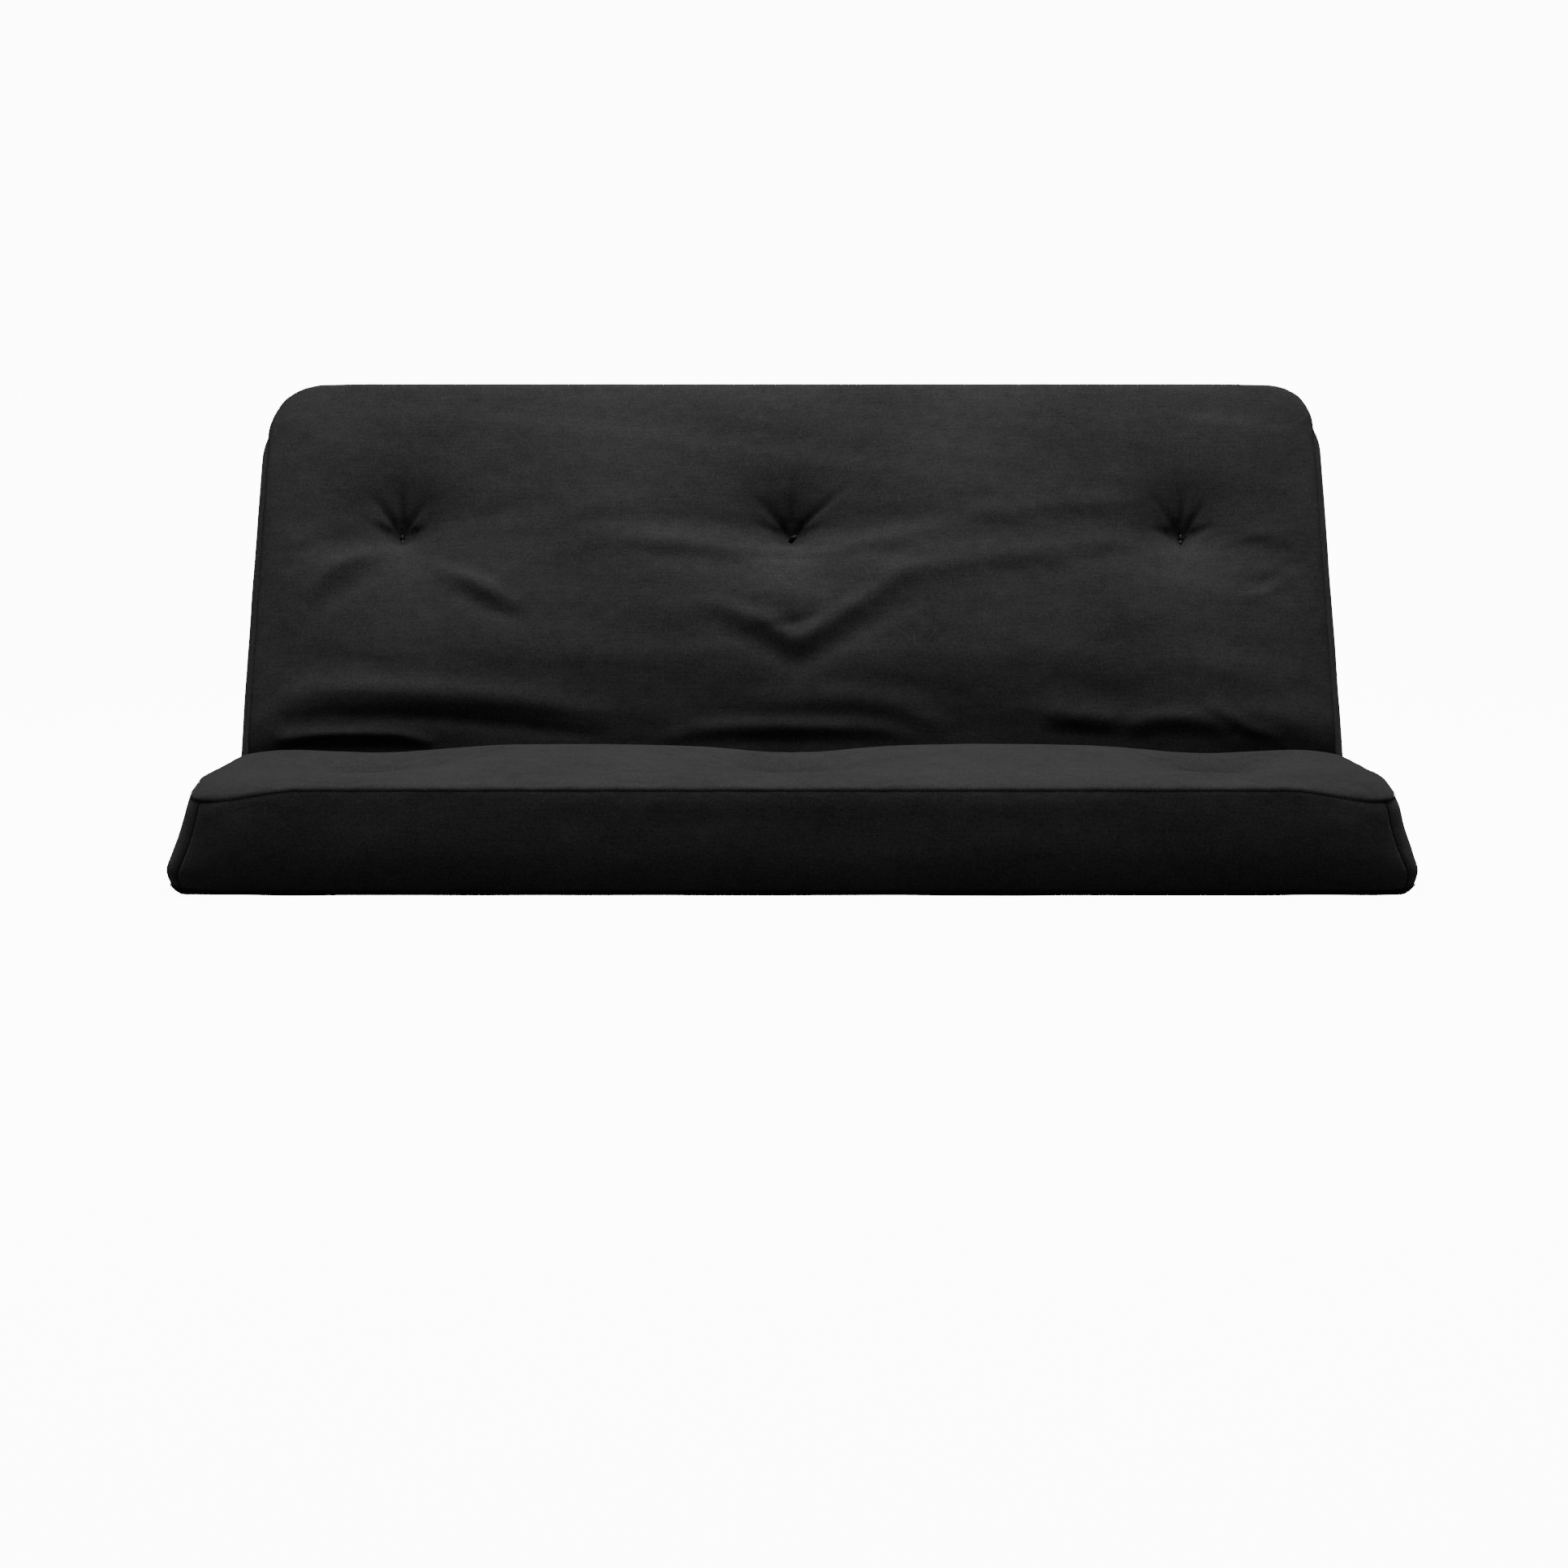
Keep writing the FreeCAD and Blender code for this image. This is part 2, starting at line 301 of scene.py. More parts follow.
class Graph:
    """A material's node tree, with short calls that add and wire its nodes."""

    def __init__(self, name: str) -> None:
        """Starts an empty material that ends in a Principled shader."""
        self.material = bpy.data.materials.new(name)
        self.material.use_nodes = True
        self.tree = self.material.node_tree
        self.shader = next(n for n in self.tree.nodes if n.type == "BSDF_PRINCIPLED")

    def add(self, kind: str, inputs: dict | None = None, **settings: object) -> bpy.types.Node:
        """Adds a node.

        Args:
            kind: Its Blender type name.
            inputs: Socket name or number to a value, or to a socket to wire from.
            **settings: Attributes of the node.

        Returns:
            The new node.
        """
        node = self.tree.nodes.new(kind)
        for key, value in settings.items():
            setattr(node, key, value)
        for key, value in (inputs or {}).items():
            self.put(node.inputs[key], value)
        return node

    def put(self, socket: Socket, value: object) -> None:
        """Wires a socket from another one, or gives it a value."""
        if isinstance(value, Socket):
            self.tree.links.new(value, socket)
        else:
            socket.default_value = value

    def math(self, operation: str, *values: object) -> Socket:
        """Adds a Math node and returns its result."""
        return self.add("ShaderNodeMath", dict(enumerate(values)), operation=operation).outputs[0]

    def ramp(self, value: object, *stops: tuple[float, Colour]) -> Socket:
        """Adds a colour ramp through the given stops and returns its colour."""
        node = self.add("ShaderNodeValToRGB", {0: value})
        elements = node.color_ramp.elements
        for number, (place, colour) in enumerate(stops):
            stop = elements[number] if number < 2 else elements.new(place)
            stop.position = place
            stop.color = (*colour, 1.0)
        return node.outputs[0]

    def noise(self, vector: Socket, scale: float, detail: float = 2.0, roughness: float = 0.5) -> Socket:
        """Adds a noise texture and returns its value."""
        inputs = {"Vector": vector, "Scale": scale, "Detail": detail, "Roughness": roughness}
        return self.add("ShaderNodeTexNoise", inputs).outputs["Fac"]

    def stretched(self, vector: Socket, scale: tuple[float, float, float], angle: float = 0.0) -> Socket:
        """Scales and turns coordinates, and returns them."""
        inputs = {"Vector": vector, "Scale": scale, "Rotation": (0.0, 0.0, angle)}
        return self.add("ShaderNodeMapping", inputs).outputs[0]

    def bump(self, height: Socket, distance: float, strength: float, under: Socket | None = None) -> Socket:
        """Adds a bump on top of another one, and returns the normal."""
        node = self.add("ShaderNodeBump", {"Height": height, "Distance": distance, "Strength": strength})
        if under is not None:
            self.put(node.inputs["Normal"], under)
        return node.outputs[0]

    def mix(self, share: Socket, under: Socket, over: Colour) -> Socket:
        """Lays a colour over another one by a share, and returns the result."""
        node = self.add("ShaderNodeMix", {0: share, 6: under, 7: (*over, 1.0)}, data_type="RGBA")
        return node.outputs[2]

    def finish(self, **sockets: object) -> Material:
        """Sets the shader's sockets, by name with underscores for spaces, and returns the material."""
        for key, value in sockets.items():
            self.put(self.shader.inputs[key.replace("_", " ")], value)
        return self.material


@dataclass(frozen=True)
class BlackCloth:
    """Matt black cover cloth: a fine twill with uneven yarns, a soft nap, a little pale lint, and painted shade
    along its seams.
    """

    name: str = "black_cover_cloth"
    dark: Colour = (0.0120, 0.0120, 0.0125)
    light: Colour = (0.0330, 0.0330, 0.0342)
    yarn: float = 0.0022
    roughness: float = 0.92
    sheen: float = 0.07
    lint: Colour = (0.11, 0.11, 0.108)
    lint_share: float = 0.35
    # Colour and strength of the painted shade laid along the seams.
    shadow: Colour = (0.0004, 0.0004, 0.0004)
    shadow_share: float = 0.88

    def build(self) -> Material:
        """Returns the material, which reads the piece's cloth coordinates in metres."""
        g = Graph(self.name)
        uv = g.add("ShaderNodeUVMap", uv_map="cloth").outputs[0]
        split = g.add("ShaderNodeSeparateXYZ", {0: uv})
        turn = 2 * math.pi / self.yarn
        warp = g.math("SINE", g.math("MULTIPLY", split.outputs[0], turn))
        weft = g.math("SINE", g.math("MULTIPLY", split.outputs[1], turn))
        plain = g.math("MULTIPLY", warp, weft)
        slant = g.math("MULTIPLY", g.math("ADD", split.outputs[0], split.outputs[1]), turn * 0.5)
        twill = g.math("SINE", slant)
        weave = g.math("ADD", g.math("MULTIPLY", plain, 0.30), g.math("MULTIPLY", twill, 0.20))
        across = g.noise(g.stretched(uv, (38.0, 900.0, 1.0)), 1.0, 3.0, 0.6)
        along = g.noise(g.stretched(uv, (900.0, 52.0, 1.0)), 1.0, 3.0, 0.6)
        slub = g.math("ADD", across, along)
        thick = g.noise(g.stretched(uv, (11.0, 240.0, 1.0)), 1.0, 3.0, 0.6)
        cloud = g.noise(uv, 5.0, 4.0, 0.6)
        worn = g.noise(uv, 44.0, 5.0, 0.72)
        grain = g.noise(uv, 210.0, 3.0, 0.7)
        tone = g.math("MULTIPLY_ADD", weave, 0.16, 0.5)
        shares = ((across, 0.45), (along, 0.45), (thick, 0.35), (cloud, 0.55), (worn, 0.60), (grain, 1.1))
        for part, share in shares:
            tone = g.math("MULTIPLY_ADD", g.math("SUBTRACT", part, 0.5), share, tone)
        colour = g.ramp(tone, (0.15, self.dark), (0.85, self.light))
        lint_place = g.stretched(uv, (1.0, 1.7, 1.0), 0.6)
        lint_cells = g.add("ShaderNodeTexVoronoi", {"Vector": lint_place, "Scale": 70.0})
        keep = g.math("GREATER_THAN", g.noise(uv, 11.0, 2.0), 0.60)
        speck = g.math("MULTIPLY", g.math("LESS_THAN", lint_cells.outputs["Distance"], 0.045), keep)
        colour = g.mix(g.math("MULTIPLY", speck, self.lint_share), colour, self.lint)
        # Painted shade: the seam attribute darkens the cloth towards near black along every seam, where the
        # groove would lie in shadow.
        seam_shade_band = g.add("ShaderNodeAttribute", attribute_name="seam").outputs["Fac"]
        colour = g.mix(g.math("MULTIPLY", seam_shade_band, self.shadow_share), colour, self.shadow)
        body = g.bump(worn, 0.0016, 0.35)
        yarns = g.bump(slub, 0.0007, 0.55, body)
        threads = g.bump(weave, 0.0004, 0.50, yarns)
        return g.finish(
            Base_Color=colour,
            Normal=threads,
            Roughness=self.roughness,
            Specular_IOR_Level=0.08,
            Sheen_Weight=self.sheen,
            Sheen_Roughness=0.45,
            Sheen_Tint=(0.80, 0.81, 0.84, 1.0),
        )


@dataclass(frozen=True)
class FibrePad:
    """Cotton and polyester batting: off-white, clumped, with loose fibres lying every way."""

    name: str = "batting_fibre"
    pale: Colour = (0.80, 0.77, 0.70)
    deep: Colour = (0.58, 0.54, 0.46)

    def build(self) -> Material:
        """Returns the material."""
        g = Graph(self.name)
        place = g.add("ShaderNodeTexCoord").outputs["Object"]
        clump = g.noise(place, 34.0, 4.0, 0.62)
        fibre = g.noise(g.stretched(place, (260.0, 60.0, 320.0), 0.5), 1.0, 5.0, 0.75)
        tone = g.math("ADD", g.math("MULTIPLY", clump, 0.6), g.math("MULTIPLY", fibre, 0.5))
        colour = g.ramp(tone, (0.3, self.deep), (0.75, self.pale))
        normal = g.bump(fibre, 0.002, 0.6, g.bump(clump, 0.006, 0.5))
        g.finish(Roughness=0.95, Sheen_Weight=0.5, Specular_IOR_Level=0.15)
        return g.finish(Base_Color=colour, Normal=normal)


@dataclass(frozen=True)
class OpenFoam:
    """Pale yellow open-cell foam with small round pores, painted darker in their hollows as shade."""

    name: str = "open_cell_foam"
    skin: Colour = (0.86, 0.78, 0.52)
    pore_shade: Colour = (0.55, 0.47, 0.27)

    def build(self) -> Material:
        """Returns the material."""
        g = Graph(self.name)
        place = g.add("ShaderNodeTexCoord").outputs["Object"]
        cells = g.add("ShaderNodeTexVoronoi", {"Vector": place, "Scale": 420.0}).outputs["Distance"]
        stain = g.noise(place, 6.0, 3.0)
        tone = g.math("ADD", g.math("MULTIPLY", cells, 0.8), g.math("MULTIPLY", stain, 0.4))
        # Painted shade: the darker colour sits in the pore hollows, mixed with random stains.
        colour = g.ramp(tone, (0.2, self.pore_shade), (0.7, self.skin))
        normal = g.bump(cells, 0.0015, 0.7)
        return g.finish(Base_Color=colour, Normal=normal, Roughness=0.9, Specular_IOR_Level=0.2)


@dataclass(frozen=True)
class WaxedTwine:
    """Black waxed twine, fuzzy where strands have lifted."""

    name: str = "waxed_twine"
    dark: Colour = (0.006, 0.006, 0.006)
    light: Colour = (0.018, 0.018, 0.019)

    def build(self) -> Material:
        """Returns the material."""
        g = Graph(self.name)
        place = g.add("ShaderNodeTexCoord").outputs["Object"]
        strand = g.noise(g.stretched(place, (900.0, 900.0, 260.0), 0.3), 1.0, 4.0, 0.7)
        colour = g.ramp(strand, (0.35, self.dark), (0.7, self.light))
        g.finish(Roughness=0.78, Specular_IOR_Level=0.2, Sheen_Weight=0.06)
        return g.finish(Base_Color=colour, Normal=g.bump(strand, 0.0004, 0.8))


@dataclass(frozen=True)
class MouldedBar:
    """Matt black moulded toggle, with a fine spark-eroded grain and rubbed high spots."""

    name: str = "moulded_toggle"
    dark: Colour = (0.008, 0.008, 0.008)
    rubbed: Colour = (0.030, 0.030, 0.031)

    def build(self) -> Material:
        """Returns the material."""
        g = Graph(self.name)
        place = g.add("ShaderNodeTexCoord").outputs["Object"]
        grain = g.noise(place, 2600.0, 2.0, 0.6)
        rub = g.noise(place, 240.0, 3.0)
        colour = g.ramp(rub, (0.45, self.dark), (0.72, self.rubbed))
        rough = g.math("ADD", g.math("MULTIPLY", grain, 0.18), 0.46)
        return g.finish(Base_Color=colour, Roughness=rough, Normal=g.bump(grain, 0.0002, 0.4))


@dataclass(frozen=True)
class LabelTape:
    """Off-white woven tape, blank, slightly yellowed at random."""

    name: str = "label_tape"
    pale: Colour = (0.74, 0.73, 0.69)
    aged: Colour = (0.60, 0.57, 0.49)
    rib: float = 0.0009

    def build(self) -> Material:
        """Returns the material, which reads the piece's cloth coordinates in metres."""
        g = Graph(self.name)
        uv = g.add("ShaderNodeUVMap", uv_map="cloth").outputs[0]
        split = g.add("ShaderNodeSeparateXYZ", {0: uv})
        ribs = g.math("SINE", g.math("MULTIPLY", split.outputs[1], 2 * math.pi / self.rib))
        cross = g.math("SINE", g.math("MULTIPLY", split.outputs[0], 2 * math.pi / (self.rib * 1.6)))
        weave = g.math("MULTIPLY", ribs, cross)
        age = g.noise(uv, 28.0, 4.0, 0.6)
        tone = g.math("ADD", age, g.math("MULTIPLY", weave, 0.08))
        colour = g.ramp(tone, (0.35, self.aged), (0.62, self.pale))
        normal = g.bump(weave, 0.0003, 0.5)
        return g.finish(Base_Color=colour, Normal=normal, Roughness=0.7, Sheen_Weight=0.3)


@dataclass(frozen=True)
class StudioPaper:
    """Pale seamless studio paper, bright to look at, with little bounced light on the dark cloth."""

    name: str = "studio_paper"
    seen: float = 0.80
    bounced: float = 0.20
    glow: float = 12.0

    def build(self) -> Material:
        """Returns the material."""
        g = Graph(self.name)
        place = g.add("ShaderNodeTexCoord").outputs["Object"]
        tone = g.math("ADD", g.math("MULTIPLY", g.noise(place, 3.0, 3.0), 0.02), 0.99)
        camera = g.add("ShaderNodeLightPath").outputs["Is Camera Ray"]
        extra = g.math("MULTIPLY", camera, self.seen - self.bounced)
        level = g.math("MULTIPLY", g.math("ADD", extra, self.bounced), tone)
        colour = g.add("ShaderNodeCombineColor", {0: level, 1: level, 2: level}).outputs[0]
        g.put(g.shader.inputs["Emission Strength"], g.math("MULTIPLY", camera, self.glow))
        g.finish(Roughness=0.9, Specular_IOR_Level=0.1)
        return g.finish(Base_Color=colour, Emission_Color=(1.0, 1.0, 1.0, 1.0))


# ---------------------------------------------------------------- the bag's shape


@dataclass(frozen=True)
class FoldLine:
    """The line that the mattress bends about, and the frame of each half on either side of it."""

    y: float
    z: float
    angle: float

    @classmethod
    def from_joint(cls, joint: dict) -> FoldLine:
        """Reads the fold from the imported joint."""
        return cls(joint["pos_m"][1], joint["pos_m"][2], math.radians(joint["range_deg"][1]))

    @property
    def slope(self) -> float:
        """How far the mitre runs from the fold line for each metre of height."""
        return math.tan(self.angle / 2)

    def height(self, half: Half, point: Array) -> float:
        """Height of a point above the underside of a half."""
        if half is Half.SEAT:
            return point[2]
        c, s = math.cos(self.angle), math.sin(self.angle)
        return self.z + (point[2] - self.z) * c - (point[1] - self.y) * s

    def place(self, back: Array, x: Array, a: Array, w: Array) -> Array:
        """Section coordinates to the row frame.

        Args:
            back: True where a point belongs to the back half.
            x: Place along the mattress.
            a: Distance from the fold line.
            w: Height above the half's underside.

        Returns:
            Points, with x, y, z in the last axis.
        """
        c, s = math.cos(self.angle), math.sin(self.angle)
        rise = w - self.z
        y = np.where(back, self.y + a * c - rise * s, self.y - a)
        z = np.where(back, self.z + a * s + rise * c, w)
        return np.stack(np.broadcast_arrays(x, y, z), axis=-1)


@dataclass(frozen=True)
class Tuft:
    """One tuft: its place, the height it draws the top panel down to, and its toggle's turn on the face."""

    half: Half
    x: float
    a: float
    seat: float = 0.118
    toggle_turn: float = 0.0

    @property
    def s(self) -> float:
        """Cloth coordinate of the tuft from the fold."""
        return self.a if self.half is Half.BACK else -self.a


@dataclass
class BagShape:
    """The sewn bag as it lies, before its tufts and its wrinkles.

    The bag is followed by two cloth coordinates: u from -1 at the left end to 1 at the right end, and s, the
    distance from the fold line, negative on the seat half.
    """

    fold: FoldLine
    half_length: float
    seat_depth: float
    back_height: float
    border_height: float = 0.166
    crown: float = 0.015
    crown_reach: float = 0.060
    corner_reach: float = 0.035
    bottom_seam: float = 0.010
    front_corner: float = 0.092
    top_corner: float = 0.100
    right_corner_ease: float = 0.016
    edge_zone: float = 0.150
    fold_zone: float = 0.150
    fold_gap: float = 0.0012
    lip_round: float = 0.004
    tuck_height: float = 0.126
    end_profile: tuple[float, ...] = (-0.0140, -0.0195, -0.0110, -0.0015, 0.0060, 0.0110, 0.0160)
    face_profile: tuple[float, ...] = (0.010, 0.0030, 0.0, 0.0015, 0.005, 0.009, 0.0145)

    def depth(self, back: Array) -> Array:
        """Length of the half that each point belongs to, at its widest."""
        return np.where(back, self.back_height, self.seat_depth)

    def insets(self, v: Array) -> tuple[Array, Array]:
        """How far in the border lies at its ends and at its faces, at a share v of its height."""
        weights = cubic_weights(np.ravel(v), np.linspace(0.0, 1.0, len(self.end_profile)))
        ends, faces = (weights @ np.array(profile) for profile in (self.end_profile, self.face_profile))
        return ends.reshape(np.shape(v)), faces.reshape(np.shape(v))

    def plan(
        self, u: Array, a: Array, back: Array, ends: Array, faces: Array, share: Array
    ) -> tuple[Array, Array]:
        """Rounds the plan's corners and draws it in from its widest.

        Args:
            u: Cloth coordinate along the mattress.
            a: Distance from the fold line before the free edge is drawn in.
            back: True on the back half.
            ends: Inset of the two ends.
            faces: Inset of the free edge.
            share: 0 at the fold to 1 at the free edge, by which the free edge's inset takes hold.

        Returns:
            Place along the mattress, and distance from the fold line.
        """
        reach = np.abs(u) * self.half_length
        near_end = smoothstep(self.half_length - self.edge_zone, self.half_length, reach)
        x = np.sign(u) * (reach - ends * near_end)
        a = a - faces * share
        right = self.half_length - ends
        far = self.depth(back) - faces
        top_radius = self.top_corner - self.right_corner_ease * (u > 0)
        radius = np.where(back, top_radius, self.front_corner) - 0.5 * faces
        p = np.clip(np.abs(x) - (right - radius), 0.0, None) / radius
        q = np.clip(a - (far - radius), 0.0, None) / radius
        inside = (p > 0) & (q > 0)
        p_round = p * np.sqrt(np.clip(1 - q * q / 2, 0, 1))
        q_round = q * np.sqrt(np.clip(1 - p * p / 2, 0, 1))
        x = np.where(inside, np.sign(x) * (right - radius + p_round * radius), x)
        a = np.where(inside, far - radius + q_round * radius, a)
        return x, a

    def bottom_path(self, s: Array) -> tuple[Array, Array]:
        """The underside's line in section: round the outside of the fold, then straight."""
        h = self.fold.z
        arc = h * self.fold.angle / 2
        span = np.abs(s)
        length = np.where(span < self.fold_zone, (arc + self.fold_zone) * span / self.fold_zone, arc + span)
        turn = self.fold.angle / 2 - np.minimum(length, arc) / h
        a = np.where(length < arc, -h * np.sin(turn), length - arc)
        return a, h - h * np.cos(turn)

    def top_path(self, s: Array, height: Array) -> tuple[Array, Array]:
        """The top face's line in section: out of the crease, over its lip, then straight.

        Args:
            s: Cloth coordinate from the fold.
            height: Height of the top face beyond the lip.

        Returns:
            Distance from the fold line, and height.
        """
        tan = self.fold.slope
        span = np.abs(s)
        t = np.clip(span / self.fold_zone, 0.0, 1.0)
        foot_a = (self.tuck_height - self.fold.z) * tan + self.fold_gap
        knee_a = (height - self.fold.z) * tan + self.fold_gap + self.lip_round
        out_a = self.fold_zone
        a = (1 - t) ** 2 * foot_a + 2 * t * (1 - t) * knee_a + t**2 * out_a
        w = (1 - t) ** 2 * self.tuck_height + 2 * t * (1 - t) * height + t**2 * height
        beyond = span >= self.fold_zone
        return np.where(beyond, span, a), np.where(beyond, height, w)

    def share(self, s: Array, back: Array) -> Array:
        """How fully the free edge's inset holds at s."""
        far = self.depth(back)
        return smoothstep(0.0, 1.0, (np.abs(s) - (far - self.edge_zone)) / self.edge_zone)

    def sag(self, x: Array, a: Array, back: Array) -> Array:
        """How much lower the top seam lies towards a corner, where there is less filling."""
        gap_x = self.half_length - self.end_profile[-1] - np.abs(x)
        gap_a = self.depth(back) - self.face_profile[-1] - a
        distance = np.hypot(gap_x, gap_a)
        return np.where(back, 0.005, 0.022) * (1 - smoothstep(0.015, 0.185, distance))

    def top(self, u: Array, s: Array) -> Array:
        """The top panel's points over a grid of cloth coordinates."""
        return self.level(u[:, None], s[None, :], np.array([[1.0]]))

    def bottom(self, u: Array, s: Array) -> Array:
        """The underside panel's points over a grid of cloth coordinates."""
        return self.level(u[:, None], s[None, :], np.array([[0.0]]))

    def level(self, u: Array, s: Array, v: Array, gap: float = 0.0) -> Array:
        """Points at a share of the bag's thickness.

        Args:
            u: Cloth coordinate along the mattress.
            s: Cloth coordinate from the fold.
            v: Share of the thickness, 0 at the underside.
            gap: How far to stay inside the border.

        Returns:
            Points, with x, y, z in the last axis.
        """
        u, s, v = np.broadcast_arrays(u, s, v)
        back = s > 0
        ends, faces = self.insets(v)
        share = self.share(s, back)
        top_x, top_a = self.plan(u, np.abs(s), back, self.end_profile[-1], self.face_profile[-1], share)
        end_gap = (1 - np.abs(u)) * self.half_length
        face_gap = self.depth(back) - np.abs(s)
        rise = (1 - np.exp(-end_gap / self.crown_reach)) * (1 - np.exp(-face_gap / self.crown_reach))
        rise_fast = (1 - np.exp(-end_gap / self.corner_reach)) * (1 - np.exp(-face_gap / self.corner_reach))
        sag = self.sag(top_x, top_a, back)
        full = self.border_height - sag + self.crown * rise + sag * rise_fast
        upper_a, upper_w = self.top_path(s, full)
        lower_a, lower_w = self.bottom_path(s)
        turn = np.where(lower_a < 0, np.arcsin(np.clip(-lower_a / self.fold.z, 0, 1)), 0.0)
        lift = self.bottom_seam * np.exp(-np.minimum(end_gap, face_gap) / 0.006)
        lower_a = lower_a + lift * np.sin(turn)
        lower_w = lower_w + lift * np.cos(turn)
        path_a = lower_a + (upper_a - lower_a) * v
        path_w = lower_w + (upper_w - lower_w) * v
        x, a = self.plan(u, path_a, back, ends + gap, faces + gap, share)
        return self.fold.place(back, x, a, path_w)

    def ring(self, u: Array, s: Array, v: Array) -> Array:
        """The border's points, round the edge by up the border."""
        return self.level(u[:, None], s[:, None], v[None, :])


@dataclass
class ClothRun:
    """One cloth simulation of the whole bag: air pushes it out, the seams and the tufts hold it in."""

    shape: BagShape
    tufts: list[Tuft]
    step: float = 0.0140
    frames: int = 20
    pressure: float = 4.0
    tension: float = 60.0
    bending: float = 3.5
    cap: float = 0.016
    pull: float = 0.011
    pull_frame: int = 12
    held_points: int = 4
    fold_hold: float = 0.03
    quality: int = 5
    mass: float = 0.35
    shear_share: float = 0.4

    def stations(self) -> tuple[Array, Array]:
        """Cloth coordinates of the simulated grid."""
        shape = self.shape
        u = np.linspace(-1, 1, int(2 * shape.half_length / self.step) // 2 * 2 + 1)
        seat = np.linspace(-shape.seat_depth, 0, int(shape.seat_depth / self.step) + 1)
        back = np.linspace(0, shape.back_height, int(shape.back_height / self.step) + 1)
        return u, np.concatenate([seat, back[1:]])

    def run(self) -> ClothMoves:
        """Simulates the bag.

        Returns:
            The cloth coordinates of the grid, u then s, and how far each point of the top panel moved.
        """
        u, s = self.stations()
        top = self.shape.top(u, s)
        bottom = self.shape.bottom(u, s)
        rows, columns = len(u), len(s)
        ring_u, ring_s = edge_walk(u, s)
        levels = np.linspace(0, 1, 9)
        ring = self.shape.ring(ring_u, ring_s, levels)
        points = np.concatenate([top.reshape(-1, 3), bottom.reshape(-1, 3), ring[:, 1:-1].reshape(-1, 3)])
        faces = [grid_faces(rows, columns), grid_faces(rows, columns, True, rows * columns)]
        faces.append(self._wall_faces(rows, columns, len(ring_u), len(levels)))
        obj = mesh_object("bag_being_filled", points, np.concatenate(faces))
        weights = np.zeros(len(points))
        weights[rows * columns :] = 1.0
        rim = np.zeros((rows, columns), dtype=bool)
        rim[[0, -1], :] = True
        rim[:, [0, -1]] = True
        rim[:, np.abs(s) < self.fold_hold] = True
        weights[: rows * columns][rim.ravel()] = 1.0
        pulled = points.copy()
        normals = grid_normals(top).reshape(-1, 3)
        grid_u, grid_s = np.meshgrid(u * self.shape.half_length, s, indexing="ij")
        for tuft in self.tufts:
            distance = np.hypot(grid_u - tuft.x, grid_s - tuft.s).ravel()
            held = np.argsort(distance)[: self.held_points]
            weights[held] = 1.0
            pulled[held] -= normals[held] * self.pull
        obj.shape_key_add(name="Basis")
        key = obj.shape_key_add(name="drawn_in")
        key.data.foreach_set("co", pulled.astype(np.float32).ravel())
        key.value = 0.0
        key.keyframe_insert("value", frame=1)
        key.value = 1.0
        key.keyframe_insert("value", frame=self.pull_frame)
        group = obj.vertex_groups.new(name="held")
        group.add([int(i) for i in np.nonzero(weights > 0)[0]], 1.0, "REPLACE")
        cloth = obj.modifiers.new("filling", "CLOTH")
        settings = cloth.settings
        settings.quality = self.quality
        settings.mass = self.mass
        settings.tension_stiffness = self.tension
        settings.compression_stiffness = self.tension
        settings.shear_stiffness = self.tension * self.shear_share
        settings.bending_stiffness = self.bending
        settings.use_pressure = True
        settings.uniform_pressure_force = self.pressure
        settings.vertex_group_mass = "held"
        settings.effector_weights.gravity = 0.0
        cloth.point_cache.frame_end = self.frames
        scene = bpy.context.scene
        for frame in range(1, self.frames + 1):
            scene.frame_set(frame)
        evaluated = obj.evaluated_get(bpy.context.evaluated_depsgraph_get())
        moved = coordinates(evaluated.data)[: rows * columns] - points[: rows * columns]
        scene.frame_set(1)
        length = np.linalg.norm(moved, axis=1, keepdims=True)
        limit = self.cap + self.pull * (np.einsum("ij,ij->i", moved, normals) < 0)[:, None]
        moved *= np.minimum(1.0, limit / np.maximum(length, 1e-9))
        bpy.data.objects.remove(obj)
        LOG.info("cloth run: points moved by up to %.1f mm", 1000 * float(length.max()))
        return u, s, moved.reshape(rows, columns, 3)

    @staticmethod
    def _wall_faces(rows: int, columns: int, around: int, levels: int) -> Array:
        """Quads of the border, welded to both panels' edges."""
        edge = edge_numbers(rows, columns)
        walk = np.empty((around, levels), dtype=int)
        walk[:, 0] = edge + rows * columns
        walk[:, -1] = edge
        inner = 2 * rows * columns + np.arange(around * (levels - 2))
        walk[:, 1:-1] = inner.reshape(around, levels - 2)
        return wall_faces(walk)


def edge_walk(u: Array, s: Array) -> tuple[Array, Array]:
    """Cloth coordinates once round the edge, from the front left corner to the right, then up, and back."""
    walk_u = [u[:-1], np.full(len(s) - 1, u[-1]), u[:0:-1], np.full(len(s) - 1, u[0])]
    walk_s = [np.full(len(u) - 1, s[0]), s[:-1], np.full(len(u) - 1, s[-1]), s[:0:-1]]
    return np.concatenate(walk_u), np.concatenate(walk_s)


def edge_numbers(rows: int, columns: int) -> Array:
    """Numbers of a grid's edge vertices, in the order of edge_walk."""
    number = np.arange(rows * columns).reshape(rows, columns)
    return np.concatenate([number[:-1, 0], number[-1, :-1], number[:0:-1, -1], number[0, :0:-1]])


# ---------------------------------------------------------------- wrinkles


